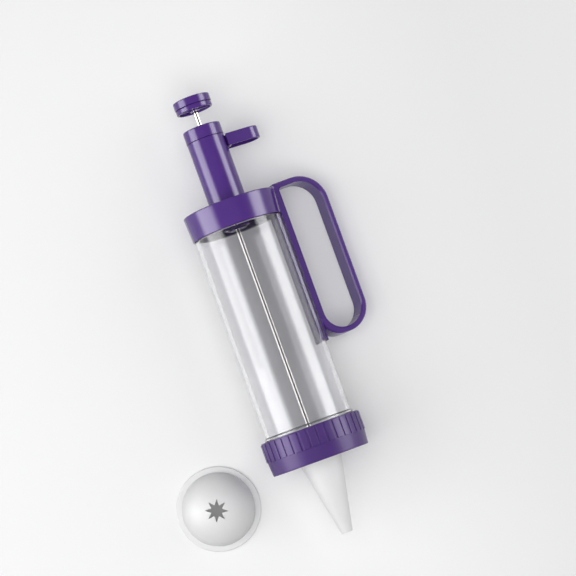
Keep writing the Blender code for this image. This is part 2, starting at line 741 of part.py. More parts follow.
def lever_block(name, inset, low, high):
    """Block with the thumb pad's outline, drawn in by an inset. Its near end follows the tower."""
    half = LEVER_WIDTH / 2 - inset
    near = LEVER_ROOT + inset
    far = LEVER_REACH - inset
    start = math.sqrt(near ** 2 - half ** 2) - SINK
    outline = rounded([
        (start, -half, 0),
        (far, -half, half),
        (far, half, half),
        (start, half, 0),
    ])
    follow = turned(name + "_room", [(0, low - OVERRUN), (near, low - OVERRUN), (near, high + OVERRUN),
                                     (0, high + OVERRUN)])
    return cut(prism(name, outline, low, high), follow)


def make_thumb_lever():
    """Hub round the rod, neck through the slot, and a hollow pad for the thumb."""
    hub = turned("thumb_lever", [
        (ROD_HOLE_RADIUS, LEVER_FOOT),
        (LEVER_HUB_RADIUS, LEVER_FOOT),
        (LEVER_HUB_RADIUS, LEVER_TOP),
        (ROD_HOLE_RADIUS, LEVER_TOP),
    ], SMALL_ROUND)
    pad = soften(lever_block("lever_pad", 0, LEVER_FOOT, LEVER_TOP), LEVER_EDGE)
    cut(pad, lever_block("lever_hollow", LEVER_WALL, LEVER_FOOT - OVERRUN, LEVER_TOP - LEVER_WALL))
    neck_half = NECK_WIDTH / 2
    neck_root = math.sqrt(LEVER_HUB_RADIUS ** 2 - neck_half ** 2) - SINK
    neck_low = (neck_root, -neck_half, LEVER_FOOT + LEVER_EDGE)
    neck_high = (LEVER_ROOT + LEVER_WALL / 2, neck_half, LEVER_TOP - LEVER_EDGE)
    return join(hub, pad, box("lever_neck", neck_low, neck_high))


def make_drive_plate():
    """Steel clutch plate: it tilts on the rod and grips it when the lever pushes down."""
    hole = ROD_RADIUS + PLATE_HOLE_SLACK
    half = PLATE_THICK / 2
    plate = turned("drive_plate", [(hole, -half), (PLATE_RADIUS, -half), (PLATE_RADIUS, half), (hole, half)],
                   SMALL_ROUND)
    drop = half + PLATE_RADIUS * math.sin(PLATE_TILT) + GAP
    tip = Matrix.Translation((0, 0, LEVER_FOOT - drop)) @ Matrix.Rotation(PLATE_TILT, 4, "Y")
    plate.data.transform(tip)
    return plate


def plate_underside():
    """Lowest level that the tilted clutch plate reaches."""
    return LEVER_FOOT - 2 * PLATE_RADIUS * math.sin(PLATE_TILT) - PLATE_THICK - GAP


def make_seat_washer():
    low = TOWER_BORE_FOOT + GAP
    radius = SPRING_RADIUS + SPRING_WIRE / 2 + SEAT_WASHER_MARGIN
    outline = [
        (ROD_HOLE_RADIUS, low),
        (radius, low),
        (radius, low + SEAT_WASHER_THICK),
        (ROD_HOLE_RADIUS, low + SEAT_WASHER_THICK),
    ]
    return turned("spring_washer", outline, SMALL_ROUND)


def make_return_spring():
    """Steel coil between the seat washer and the clutch plate."""
    low = TOWER_BORE_FOOT + GAP + SEAT_WASHER_THICK + GAP + SPRING_WIRE / 2
    high = plate_underside() - GAP - SPRING_WIRE / 2
    pitch = (high - low) / SPRING_TURNS
    wire = polygon(WIRE_SIDES, SPRING_WIRE / 2)
    turns, steps = SPRING_TURNS, SPRING_STEPS
    spring = coil("return_spring", SPRING_RADIUS, pitch, turns, steps, low, 0, lambda share: wire)
    gap = least_gap(spring, steps * WIRE_SIDES)
    print(f"return_spring: least gap between turns {gap / MM:.2f} mm")
    return spring


def make_grip_ring():
    """Rubber ring in the guide boss that keeps the rod from sliding by itself."""
    low = COLLAR_FOOT + RETAINER_THICK + GAP
    waist = GRIP_THICK / 4
    outline = [
        (ROD_HOLE_RADIUS + waist, low),
        (GRIP_RADIUS - waist, low),
        (GRIP_RADIUS, low + waist),
        (GRIP_RADIUS, low + GRIP_THICK - waist),
        (GRIP_RADIUS - waist, low + GRIP_THICK),
        (ROD_HOLE_RADIUS + waist, low + GRIP_THICK),
        (ROD_HOLE_RADIUS, low + GRIP_THICK - waist),
        (ROD_HOLE_RADIUS, low + waist),
    ]
    return turned("rod_grip_ring", outline, SMALL_ROUND)


def make_grip_retainer():
    """Snap-in disc that closes the boss under the rubber ring."""
    top = COLLAR_FOOT + RETAINER_THICK
    flange_top = COLLAR_FOOT - GAP
    outline = [
        (ROD_HOLE_RADIUS, flange_top - RETAINER_FLANGE_THICK),
        (RETAINER_FLANGE_RADIUS, flange_top - RETAINER_FLANGE_THICK),
        (RETAINER_FLANGE_RADIUS, flange_top),
        (GRIP_RADIUS, flange_top),
        (GRIP_RADIUS, top),
        (ROD_HOLE_RADIUS, top),
    ]
    return turned("grip_retainer", outline, SMALL_ROUND)


# Pieces of the plunger

def make_plunger_rod():
    low = PISTON_NUT_LOW - ROD_END
    edge = ROD_RADIUS / 4
    outline = [
        (0, low),
        (ROD_RADIUS - edge, low),
        (ROD_RADIUS, low + edge),
        (ROD_RADIUS, ROD_TOP - edge),
        (ROD_RADIUS - edge, ROD_TOP),
        (0, ROD_TOP),
    ]
    return turned("plunger_rod", outline, SMALL_ROUND)


def make_nut(name, low):
    """Hexagon nut on the rod."""
    high = low + NUT_THICK
    nut = prism(name, polygon(6, NUT_FLATS / 2 / math.cos(math.pi / 6)), low, high)
    bore = polygon(SMALL_ROUND, ROD_HOLE_RADIUS)
    return cut(nut, prism(name + "_hole", bore, low - OVERRUN, high + OVERRUN))


def make_knob_body():
    """Lower half of the knob: hollow skirt, hub and ribs, with a spigot for the cover."""
    deck = KNOB_DECK_TOP
    skirt = KNOB_RADIUS - KNOB_STEP
    spigot = KNOB_RADIUS - KNOB_WALL - GAP
    hub = KNOB_HUB_RADIUS
    edge = KNOB_EDGE / 2
    outline = [
        (ROD_HOLE_RADIUS, KNOB_FOOT),
        (hub, KNOB_FOOT),
        (hub, deck - KNOB_DECK),
        (skirt - KNOB_WALL, deck - KNOB_DECK),
        (skirt - KNOB_WALL, KNOB_FOOT),
        (skirt - edge, KNOB_FOOT),
        (skirt, KNOB_FOOT + edge),
        (skirt, deck),
        (spigot, deck),
        (spigot, deck + KNOB_SPIGOT),
        (spigot - KNOB_SPIGOT_WALL, deck + KNOB_SPIGOT),
        (spigot - KNOB_SPIGOT_WALL, deck),
        (ROD_HOLE_RADIUS, deck),
    ]
    knob = turned("knob_body", outline)
    half = KNOB_RIB_THICK / 2
    for i in range(KNOB_RIBS):
        low = (hub - SINK, -half, KNOB_FOOT + KNOB_EDGE)
        high = (skirt - KNOB_WALL + SINK, half, deck - KNOB_DECK + SINK)
        rib = box(f"knob_rib_{i}", low, high)
        rib.data.transform(Matrix.Rotation(2 * math.pi * i / KNOB_RIBS, 4, "Z"))
        join(knob, rib)
    return knob


def make_knob_cover():
    """Upper half of the knob, pressed over the spigot."""
    low = KNOB_DECK_TOP + KNOB_GROOVE
    inner = KNOB_RADIUS - KNOB_WALL
    outline = [
        (0, KNOB_TOP - KNOB_WALL),
        (inner, KNOB_TOP - KNOB_WALL),
        (inner, low),
        (KNOB_RADIUS, low),
        (KNOB_RADIUS, KNOB_TOP - KNOB_EDGE),
        (KNOB_RADIUS - KNOB_EDGE, KNOB_TOP),
        (0, KNOB_TOP),
    ]
    return turned("knob_cover", outline)


def make_piston_disc():
    """Stiff plate of the piston, whose rim sits in the seal, with a hub behind it."""
    middle = PISTON_FOOT + PISTON_THICK
    outline = [
        (ROD_HOLE_RADIUS, PISTON_FOOT),
        (PISTON_DISC_RADIUS, PISTON_FOOT),
        (PISTON_DISC_RADIUS, middle),
        (PISTON_HUB_RADIUS, middle),
        (PISTON_HUB_RADIUS, PISTON_TOP),
        (ROD_HOLE_RADIUS, PISTON_TOP),
    ]
    return turned("piston_disc", outline)


def make_piston_seal():
    """Soft seal round the piston, with a lip at each edge that wipes the barrel."""
    reach = BORE_RADIUS - SEAL_CLEARANCE
    low = PISTON_FOOT - (SEAL_HEIGHT - PISTON_THICK) / 2
    high = low + SEAL_HEIGHT
    core = PISTON_DISC_RADIUS + GAP
    catch = core - SEAL_LIP
    outline = [
        (catch, low),
        (reach - SEAL_LIP / 2, low),
        (reach, low + SEAL_LIP / 2),
        (reach, low + SEAL_LIP),
        (reach - SEAL_LIP, low + 2 * SEAL_LIP),
        (reach - SEAL_LIP, high - 2 * SEAL_LIP),
        (reach, high - SEAL_LIP),
        (reach, high - SEAL_LIP / 2),
        (reach - SEAL_LIP / 2, high),
        (catch, high),
        (catch, PISTON_FOOT + PISTON_THICK + GAP),
        (core, PISTON_FOOT + PISTON_THICK + GAP),
        (core, PISTON_FOOT - GAP),
        (catch, PISTON_FOOT - GAP),
    ]
    return turned("piston_seal", outline)


def make_piston_washer():
    low = PISTON_FOOT - GAP - WASHER_THICK
    outline = [
        (ROD_HOLE_RADIUS, low),
        (WASHER_RADIUS, low),
        (WASHER_RADIUS, low + WASHER_THICK),
        (ROD_HOLE_RADIUS, low + WASHER_THICK),
    ]
    return turned("piston_washer", outline, SMALL_ROUND)


# Assembly

def lay_down(name, middle):
    """Empty whose axes are the syringe's own, as it lies on the table."""
    along = Vector((0, math.cos(TILT), -math.sin(TILT)))
    up = Vector((0, math.sin(TILT), math.cos(TILT)))
    out = Vector((1, 0, 0)) * math.cos(DROOP) - up * math.sin(DROOP)
    side = along.cross(out)
    place = Matrix((out, side, along)).transposed().to_4x4()
    place.translation = Vector((0, 0, axis_height(0))) - middle
    empty = joint_empty(name, None)
    empty.matrix_world = place
    return empty


def main():
    for obj in list(bpy.data.objects):
        bpy.data.objects.remove(obj)

    gloss_purple = material("gloss_purple", (0.089, 0.030, 0.254), 0.25)
    satin_purple = material("satin_purple", (0.095, 0.037, 0.235), 0.45)
    clear_plastic = material("clear_plastic", (0.92, 0.93, 0.95), 0.06, transmission=1.0)
    white_plastic = material("white_plastic", (0.86, 0.86, 0.87), 0.35)
    steel = material("steel", (0.62, 0.61, 0.58), 0.18, metallic=1.0)
    soft_rubber = material("soft_rubber", (0.72, 0.72, 0.70), 0.6)
    dark_rubber = material("dark_rubber", (0.03, 0.03, 0.03), 0.7)

    middle = footprint_middle()
    syringe = lay_down("syringe", middle)
    tip_joint = joint_empty("tip_joint", syringe)
    ring_joint = joint_empty("ring_joint", tip_joint)
    grip_joint = joint_empty("grip_joint", syringe, COLLAR_FOOT)
    handle_joint = joint_empty("handle_joint", grip_joint)
    lever_joint = joint_empty("lever_joint", handle_joint)
    plunger_joint = joint_empty("plunger_joint", handle_joint)

    pieces = [
        (make_barrel(), clear_plastic, syringe),
        (make_round_tip(), white_plastic, tip_joint),
        (make_screw_ring(), satin_purple, ring_joint),
        (make_grip_ring(), dark_rubber, grip_joint),
        (make_handle_body(), gloss_purple, handle_joint),
        (make_tower_cap(), gloss_purple, handle_joint),
        (make_grip_retainer(), gloss_purple, handle_joint),
        (make_seat_washer(), steel, handle_joint),
        (make_return_spring(), steel, handle_joint),
        (make_thumb_lever(), gloss_purple, lever_joint),
        (make_drive_plate(), steel, lever_joint),
        (make_plunger_rod(), steel, plunger_joint),
        (make_knob_body(), gloss_purple, plunger_joint),
        (make_knob_cover(), gloss_purple, plunger_joint),
        (make_nut("knob_nut", KNOB_DECK_TOP + GAP), steel, plunger_joint),
        (make_piston_disc(), white_plastic, plunger_joint),
        (make_piston_seal(), soft_rubber, plunger_joint),
        (make_piston_washer(), steel, plunger_joint),
        (make_nut("piston_nut", PISTON_NUT_LOW), steel, plunger_joint),
        (make_nut("piston_lock_nut", PISTON_TOP + GAP), steel, plunger_joint),
    ]
    for obj, mat, parent in pieces:
        dress(obj, mat, parent)
        if parent in (grip_joint, handle_joint, lever_joint, plunger_joint):
            obj.location.z = -COLLAR_FOOT

    star_tip = dress(make_star_tip(), white_plastic, None)
    star_tip.location = Vector((-STAR_TIP_ASIDE, -STAR_TIP_FORWARD, 0)) - middle


main()
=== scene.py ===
"""Looks of the cake decorating syringe and its spare star tip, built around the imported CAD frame.

Pieces of the syringe are made in its own axes, as in the CAD: local +Z runs from the nozzle to the thumb
knob, local +X from the axis to the hand loop, and local z = 0 is the front face of the screw ring. Each piece
is then laid on the table with the others, in the row frame. The main sizes are those of the CAD.
"""

import json
import math

import bmesh
import bpy
from mathutils import Matrix, Vector


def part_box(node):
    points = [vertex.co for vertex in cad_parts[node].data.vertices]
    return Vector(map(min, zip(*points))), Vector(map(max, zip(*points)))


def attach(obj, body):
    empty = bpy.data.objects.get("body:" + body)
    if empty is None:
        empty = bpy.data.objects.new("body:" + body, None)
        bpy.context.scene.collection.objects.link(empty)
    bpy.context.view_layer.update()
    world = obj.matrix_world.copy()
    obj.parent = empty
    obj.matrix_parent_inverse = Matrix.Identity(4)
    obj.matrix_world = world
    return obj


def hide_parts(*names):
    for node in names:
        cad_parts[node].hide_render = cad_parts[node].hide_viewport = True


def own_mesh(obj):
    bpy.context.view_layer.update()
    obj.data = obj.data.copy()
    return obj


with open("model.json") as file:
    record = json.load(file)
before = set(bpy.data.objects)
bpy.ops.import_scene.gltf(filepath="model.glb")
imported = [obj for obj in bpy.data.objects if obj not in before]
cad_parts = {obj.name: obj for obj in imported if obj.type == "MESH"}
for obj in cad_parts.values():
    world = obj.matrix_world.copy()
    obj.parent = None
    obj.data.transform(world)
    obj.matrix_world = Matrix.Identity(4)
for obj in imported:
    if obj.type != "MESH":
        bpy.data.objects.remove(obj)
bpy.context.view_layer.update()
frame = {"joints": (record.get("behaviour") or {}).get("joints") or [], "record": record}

MM = 0.001

# Clearances between pieces, overrun of cutters, and how deep joined shapes sink into each other
GAP = 0.3 * MM
OVERRUN = 1.0 * MM
SINK = 0.45 * MM
WELD_DISTANCE = 0.0001 * MM

# Facets, and how far from an edge its shading reaches into a flat side
ROUND = 192
SMALL_ROUND = 64
COIL_STEPS = 48
WIRE_SIDES = 10
EDGE_STEPS = 5
SHARP_EDGE_STEPS = 3
CORNER_STEPS = 20
DOME_STEPS = 40
SUPPORT = 0.25 * MM
SMOOTH_ANGLE = math.radians(35)

# Least cosine that counts in a mitred corner, so that a sharp one stays short
MITRE_LEAST = 0.5

# Roundings of edges, from crisp to full
CRISP = 0.1 * MM
KEEN = 0.15 * MM
FINE = 0.2 * MM
SMALL = 0.25 * MM
SLIGHT = 0.3 * MM
SOFT = 0.4 * MM
BROAD = 0.5 * MM
FULL = 0.6 * MM

# Barrel
BARREL_RADIUS = 30.0 * MM
BARREL_WALL = 2.6 * MM
BARREL_SHOWN = 140.7 * MM
NECK_WALL = 1.2 * MM
NECK_END_GAP = 0.7 * MM
BEAD_PROUD = 0.9 * MM
BEAD_HEIGHT = 1.3 * MM
BEAD_RAMP = 0.4 * MM
BEAD_EDGE = 0.35 * MM

# Threads
THREAD_PITCH = 4.0 * MM
THREAD_TURNS = 1.25
UNSCREW_TURNS = 2
THREAD_ROOT_WIDTH = 1.5 * MM
THREAD_CREST_WIDTH = 0.7 * MM
THREAD_FADE_SHARE = 0.12
THREAD_END_SHARE = 0.05
NECK_THREAD_HEIGHT = 1.0 * MM
RING_THREAD_HEIGHT = 1.3 * MM
THREAD_CREST_GAP = 0.45 * MM
NECK_THREAD_INSET = 1.05 * MM
FOOT_THREAD_START = 4.6 * MM

# Screw ring
RING_WALL = 2.75 * MM
RING_BAND_STEP = 0.5 * MM
RING_BAND_TAPER = 0.8 * MM
RING_HEIGHT = 23.1 * MM
RING_BAND_HEIGHT = 9.4 * MM
RING_FLOOR = 2.4 * MM
RING_EDGE = 0.7 * MM
PAD_COUNT = 36
PAD_WIDTH_SHARE = 0.76
PAD_PROUD = 0.6 * MM
PAD_EDGE = 0.25 * MM
PAD_RAMP = 0.4 * MM
PAD_STEP = 0.02 * MM

# Both tips
TIP_FLANGE_INSET = 1.3 * MM
TIP_FLANGE_WIDTH = 3.7 * MM
TIP_FLANGE_THICK = 2.0 * MM
TIP_WALL = 1.5 * MM

# Round tip
CONE_RADIUS = 14.1 * MM
CONE_LENGTH = 50.4 * MM
CONE_FOOT_ROUND = 1.2 * MM
CONE_INNER_ROUND = 1.0 * MM
OUTLET_RADIUS = 3.85 * MM
OUTLET_WALL = 0.7 * MM
SHOULDER_RECESS = 0.9 * MM

# Star tip
DOME_HEIGHT = 22.5 * MM
DOME_INSET = 0.1 * MM
STAR_POINTS = 8
STAR_OUTER_RADIUS = 8.2 * MM
STAR_INNER_RADIUS = 3.8 * MM
STAR_TURN = math.radians(-20)

# Collar
COLLAR_WALL = 1.95 * MM
COLLAR_TAPER = 1.0 * MM
COLLAR_HEIGHT = 17.4 * MM
COLLAR_PLATE = 3.3 * MM
COLLAR_EDGE = 0.8 * MM

# Tower and its cap
TOWER_RADIUS = 12.8 * MM
TOWER_WALL = 1.8 * MM
TOWER_HEIGHT = 54.4 * MM
TOWER_FLOOR = 2.8 * MM
TOWER_FILLET = 0.8 * MM
SLOT_CLEARANCE = 0.6 * MM
CAP_PROUD = 0.2 * MM
CAP_HEIGHT = 8.4 * MM
CAP_PLATE = 2.2 * MM
CAP_PLUG = 3.6 * MM
CAP_PLUG_WALL = 1.0 * MM
CAP_EDGE = 0.7 * MM

# Guide boss, with the rubber ring and its retainer
BOSS_RADIUS = 9.0 * MM
GRIP_THICK = 2.4 * MM
GRIP_RADIUS = 4.6 * MM
RETAINER_THICK = 1.4 * MM
RETAINER_FLANGE_RADIUS = 6.6 * MM
RETAINER_FLANGE_THICK = 0.8 * MM

# Hand loop
STRAP_WIDTH = 16.0 * MM
STRAP_THICK = 3.6 * MM
STRAP_EDGE = 0.8 * MM
LOOP_GAP = 27.9 * MM
LOOP_TOP_RISE = 3.5 * MM
LOOP_FOOT_DROP = 89.3 * MM
LOOP_TOP_ROUND = 16.2 * MM
LOOP_FOOT_ROUND = 14.6 * MM
LOOP_NEAR_ROUND = 12.9 * MM
LOOP_HEEL_ROUND = 13.0 * MM
LOOP_ARCH_ROUND = 4.0 * MM
LOOP_ROOT_ROUND = 1.2 * MM
LOOP_ROOT_DIP = 0.7 * MM
LOOP_CORNER_FILLET = 2.0 * MM
BAR_CLEARANCE = 1.2 * MM
BAR_ROOT = 29.7 * MM
BAR_TAIL = 1.2 * MM
TAIL_THICK = 1.2 * MM

# Thumb lever
LEVER_LENGTH = 23.3 * MM
LEVER_WIDTH = 16.8 * MM
LEVER_HEIGHT = 8.4 * MM
LEVER_WALL = 1.6 * MM
LEVER_DROP = 1.0 * MM
LEVER_TRAVEL = 20.0 * MM
LEVER_STANDOFF = 1.2 * MM
LEVER_TOP_EDGE = 0.8 * MM
LEVER_MIDDLE_HALF = 2.0 * MM
LEVER_END_SLACK = 0.01 * MM
NEAR_ARC_SHARE = 0.8
NECK_WIDTH = 7.0 * MM

# Clutch plate and return spring
PLATE_THICK = 1.5 * MM
PLATE_CLEARANCE = 2.6 * MM
PLATE_DROP = 2.22 * MM
PLATE_TILT = math.radians(8)
PLATE_HOLE_SLACK = 0.4 * MM
SPRING_WIRE = 0.8 * MM
SPRING_RADIUS = 5.2 * MM
SPRING_LENGTH = 26.96 * MM
SPRING_TURNS = 7
SEAT_WASHER_MARGIN = 2.4 * MM
SEAT_WASHER_THICK = 1.0 * MM

# Rod, knob and nuts
ROD_RADIUS = 1.6 * MM
ROD_CLEARANCE = 0.3 * MM
ROD_TOP_END = 0.6 * MM
ROD_FOOT_END = 0.1 * MM
KNOB_RADIUS = 12.7 * MM
KNOB_HEADROOM = 0.9 * MM
KNOB_GAP = 12.1 * MM
KNOB_STEP = 0.3 * MM
KNOB_SKIRT_HEIGHT = 3.1 * MM
KNOB_GROOVE = 0.4 * MM
KNOB_WALL = 1.6 * MM
KNOB_DECK = 1.3 * MM
KNOB_HUB_RADIUS = 3.6 * MM
KNOB_SPIGOT = 2.4 * MM
KNOB_SPIGOT_WALL = 1.2 * MM
KNOB_EDGE = 0.5 * MM
KNOB_RIBS = 4
KNOB_RIB_THICK = 1.2 * MM
NUT_SIDES = 6
NUT_RADIUS = 3.175 * MM
NUT_THICK = 2.2 * MM
NUT_FACE_SHARE = 0.9

# Piston
PISTON_RISE = 3.6 * MM
PISTON_THICK = 3.2 * MM
PISTON_HUB_RADIUS = 6.5 * MM
PISTON_HUB_HEIGHT = 3.0 * MM
SEAL_HEIGHT = 6.0 * MM
SEAL_DEPTH = 3.1 * MM
SEAL_CLEARANCE = 0.3 * MM
SEAL_LIP = 1.2 * MM
WASHER_RADIUS = 5.0 * MM
WASHER_THICK = 0.8 * MM

# Radii that follow from the sizes above
BORE_RADIUS = BARREL_RADIUS - BARREL_WALL
NECK_RADIUS = BORE_RADIUS + NECK_WALL
BEAD_RADIUS = BARREL_RADIUS + BEAD_PROUD
COLLAR_INNER_RADIUS = NECK_RADIUS + NECK_THREAD_HEIGHT + THREAD_CREST_GAP
COLLAR_RADIUS = COLLAR_INNER_RADIUS + COLLAR_WALL
RING_INNER_RADIUS = BARREL_RADIUS + RING_THREAD_HEIGHT + THREAD_CREST_GAP
RING_RADIUS = RING_INNER_RADIUS + RING_WALL
RING_BAND_RADIUS = RING_RADIUS - RING_BAND_STEP
TIP_FLANGE_RADIUS = BARREL_RADIUS - TIP_FLANGE_INSET
TIP_HUB_RADIUS = TIP_FLANGE_RADIUS - TIP_FLANGE_WIDTH
DOME_RADIUS = TIP_HUB_RADIUS - DOME_INSET
TOWER_BORE_RADIUS = TOWER_RADIUS - TOWER_WALL
CAP_RADIUS = TOWER_RADIUS + CAP_PROUD
CAP_PLUG_RADIUS = TOWER_BORE_RADIUS - GAP
LEVER_HUB_RADIUS = CAP_PLUG_RADIUS - CAP_PLUG_WALL - GAP
PLATE_RADIUS = TOWER_BORE_RADIUS - PLATE_CLEARANCE
ROD_HOLE_RADIUS = ROD_RADIUS + ROD_CLEARANCE
KNOB_SKIRT_RADIUS = KNOB_RADIUS - KNOB_STEP
PISTON_DISC_RADIUS = BORE_RADIUS - SEAL_CLEARANCE - SEAL_DEPTH
SLOT_HALF = NECK_WIDTH / 2 + SLOT_CLEARANCE

# Distances from the axis along local X
BAR_INNER = BARREL_RADIUS + BAR_CLEARANCE
BAR_OUTER = BAR_INNER + STRAP_THICK
LOOP_REACH = BAR_OUTER + LOOP_GAP + STRAP_THICK
LEVER_ROOT = TOWER_RADIUS + LEVER_STANDOFF
LEVER_REACH = LEVER_ROOT + LEVER_LENGTH

# Levels along the axis
COLLAR_FOOT = RING_HEIGHT + BARREL_SHOWN
COLLAR_TOP = COLLAR_FOOT + COLLAR_HEIGHT
COLLAR_CONTACT = COLLAR_TOP - COLLAR_EDGE
TOWER_TOP = COLLAR_TOP + TOWER_HEIGHT
CAP_FOOT = TOWER_TOP - CAP_HEIGHT
KNOB_FOOT = TOWER_TOP + KNOB_GAP
KNOB_DECK_TOP = KNOB_FOOT + KNOB_SKIRT_HEIGHT
KNOB_NUT_LOW = KNOB_DECK_TOP + GAP
ROD_TOP = KNOB_NUT_LOW + NUT_THICK + ROD_TOP_END
KNOB_TOP = ROD_TOP + KNOB_HEADROOM + KNOB_WALL
FLANGE_FRONT = RING_FLOOR + GAP
BARREL_FOOT = FLANGE_FRONT + TIP_FLANGE_THICK + GAP
FOOT_THREAD_LOW = BARREL_FOOT + FOOT_THREAD_START
NECK_TOP = COLLAR_TOP - COLLAR_PLATE - NECK_END_GAP
NECK_THREAD_LOW = NECK_TOP - NECK_THREAD_INSET - THREAD_ROOT_WIDTH / 2 - THREAD_PITCH * THREAD_TURNS
PISTON_FOOT = BARREL_FOOT + PISTON_RISE
PISTON_TOP = PISTON_FOOT + PISTON_THICK + PISTON_HUB_HEIGHT
PISTON_WASHER_LOW = PISTON_FOOT - GAP - WASHER_THICK
PISTON_NUT_LOW = PISTON_WASHER_LOW - GAP - NUT_THICK
LOCK_NUT_LOW = PISTON_TOP + GAP
LEVER_TOP = CAP_FOOT - LEVER_DROP
LEVER_FOOT = LEVER_TOP - LEVER_HEIGHT
SEAT_WASHER_LOW = COLLAR_TOP + TOWER_FLOOR + GAP
SPRING_LOW = SEAT_WASHER_LOW + SEAT_WASHER_THICK + GAP + SPRING_WIRE / 2
GRIP_LOW = COLLAR_FOOT + RETAINER_THICK + GAP
LOOP_TOP = COLLAR_TOP + LOOP_TOP_RISE
LOOP_FOOT = COLLAR_FOOT - LOOP_FOOT_DROP


def syringe_place():
    """Matrix from the syringe's own axes to the row frame, as the record's joints and mounts give them."""
    joints = {joint["name"]: joint for joint in frame["joints"]}
    mounts = {mount["name"]: mount for mount in frame["record"]["mounts"]}
    along = Vector(joints["handle_turn"]["axis"]).normalized()
    out = Vector(mounts["hand_loop_outer_face"]["axis"])
    out = (out - along * out.dot(along)).normalized()
    place = Matrix((out, along.cross(out), along)).transposed().to_4x4()
    place.translation = Vector(joints["ring_turn"]["pos_m"])
    return place


PLACE = syringe_place()


# Mesh helpers

def new_object(bm, name):
    """Named object from a bmesh, with outward faces."""
    bmesh.ops.remove_doubles(bm, verts=bm.verts, dist=WELD_DISTANCE)
    bmesh.ops.recalc_face_normals(bm, faces=bm.faces)
    mesh = bpy.data.meshes.new(name)
    bm.to_mesh(mesh)
    bm.free()
    obj = bpy.data.objects.new(name, mesh)
    bpy.context.scene.collection.objects.link(obj)
    return obj


def rounded(corners, steps=EDGE_STEPS):
    """Closed outline through (x, y, radius) corners, each rounded by an arc of its radius."""
    points = []
    for i, (x, y, radius) in enumerate(corners):
        here = Vector((x, y))
        if radius <= 0:
            points.append((x, y))
            continue
        back = (Vector(corners[i - 1][:2]) - here).normalized()
        ahead = (Vector(corners[(i + 1) % len(corners)][:2]) - here).normalized()
        half = back.angle(ahead) / 2
        centre = here + (back + ahead).normalized() * (radius / math.sin(half))
        start = here + back * (radius / math.tan(half)) - centre
        end = here + ahead * (radius / math.tan(half)) - centre
        sweep = start.angle_signed(end)
        for k in range(steps + 1):
            points.append(tuple(centre + Matrix.Rotation(-sweep * k / steps, 2) @ start))
    return points


def supported(outline):
    """The outline with a point close to both ends of each long side, so that its shading stays flat."""
    points = []
    for start, end in zip(outline, outline[1:] + outline[:1]):
        points.append(start)
        a, b = Vector(start), Vector(end)
        if (b - a).length > 4 * SUPPORT:
            step = (b - a).normalized() * SUPPORT
            points += [tuple(a + step), tuple(b - step)]
    return points


def loft(name, loops, closed=False):
    """Solid through loops of 3-D points. A loop of one point is a pole. Its ends are capped or joined."""
    bm = bmesh.new()
    rings = [[bm.verts.new(point) for point in loop] for loop in loops]
    count = max(len(ring) for ring in rings)
    pairs = list(zip(rings, rings[1:])) + ([(rings[-1], rings[0])] if closed else [])
    for first, second in pairs:
        if len(first) == len(second) == 1:
            continue
        for k in range(count):
            after = (k + 1) % count
            around = [first[k % len(first)], first[after % len(first)],
                      second[after % len(second)], second[k % len(second)]]
            bm.faces.new(dict.fromkeys(around))
    if not closed:
        for ring in (rings[0], rings[-1]):
            if len(ring) > 2:
                bm.faces.new(ring)
    return new_object(bm, name)


def circle(radius, z, steps):
    """Points round the Z axis, or one on it where there is no radius."""
    if radius <= 0:
        return [(0, 0, z)]
    turns = [2 * math.pi * k / steps for k in range(steps)]
    return [(radius * math.cos(turn), radius * math.sin(turn), z) for turn in turns]


def turned(name, corners, steps=ROUND):
    """Solid turned round the Z axis from (radius, z, rounding) corners."""
    return loft(name, [circle(radius, z, steps) for radius, z in supported(rounded(corners))], closed=True)


def prism(name, outline, low, high):
    return loft(name, [[(x, y, low) for x, y in outline], [(x, y, high) for x, y in outline]])


def box(name, low, high):
    outline = [(low[0], low[1]), (high[0], low[1]), (high[0], high[1]), (low[0], high[1])]
    return prism(name, outline, low[2], high[2])


def evaluated_mesh(obj):
    bpy.context.view_layer.update()
    return bpy.data.meshes.new_from_object(obj.evaluated_get(bpy.context.evaluated_depsgraph_get()))


def combine(target, other, operation):
    """Joins, cuts or intersects two solids with the exact Boolean and removes the second."""
    step = target.modifiers.new(operation.lower(), "BOOLEAN")
    step.operation = operation
    step.solver = "EXACT"
    step.object = other
    mesh = evaluated_mesh(target)
    target.modifiers.clear()
    target.data = mesh
    bpy.data.objects.remove(other)
    return target


def join(target, *others):
    for other in others:
        combine(target, other, "UNION")
    return target


def cut(target, *others):
    for other in others:
        combine(target, other, "DIFFERENCE")
    return target


def drawn_in(outline, distance):
    """The outline moved inwards by a distance, or outwards where it is negative."""
    points = []
    for i, here in enumerate(outline):
        back = (Vector(here) - Vector(outline[i - 1])).normalized()
        ahead = (Vector(outline[(i + 1) % len(outline)]) - Vector(here)).normalized()
        inward = Vector((-back.y - ahead.y, back.x + ahead.x)).normalized()
        reach = distance / max(inward.dot(Vector((-back.y, back.x))), MITRE_LEAST)
        points.append(tuple(Vector(here) + inward * reach))
    return points


def bevel_levels(half, edge, side):
    """(y, inset) of a plate's levels, bevelled at both faces; side is 1 for its rim and -1 for a window."""
    return [(-half, side * edge), (-half + edge, 0), (half - edge, 0), (half, side * edge)]


def plate(name, outline, levels):
    """Solid along Y through the outline drawn in by each level's inset."""
    return loft(name, [[(x, y, z) for x, z in drawn_in(outline, inset)] for y, inset in levels])


# Threads

def coil(name, radius, pitch, turns, steps, low, phase, section):
    """Solid swept along a right-hand helix; section(share) gives its (outward, up) offsets."""
    count = round(turns * steps)
    loops = []
    for i in range(count + 1):
        angle = phase + 2 * math.pi * i / steps
        loops.append([((radius + outward) * math.cos(angle), (radius + outward) * math.sin(angle),
                       low + pitch * i / steps + up) for outward, up in section(i / count)])
    return loft(name, loops)


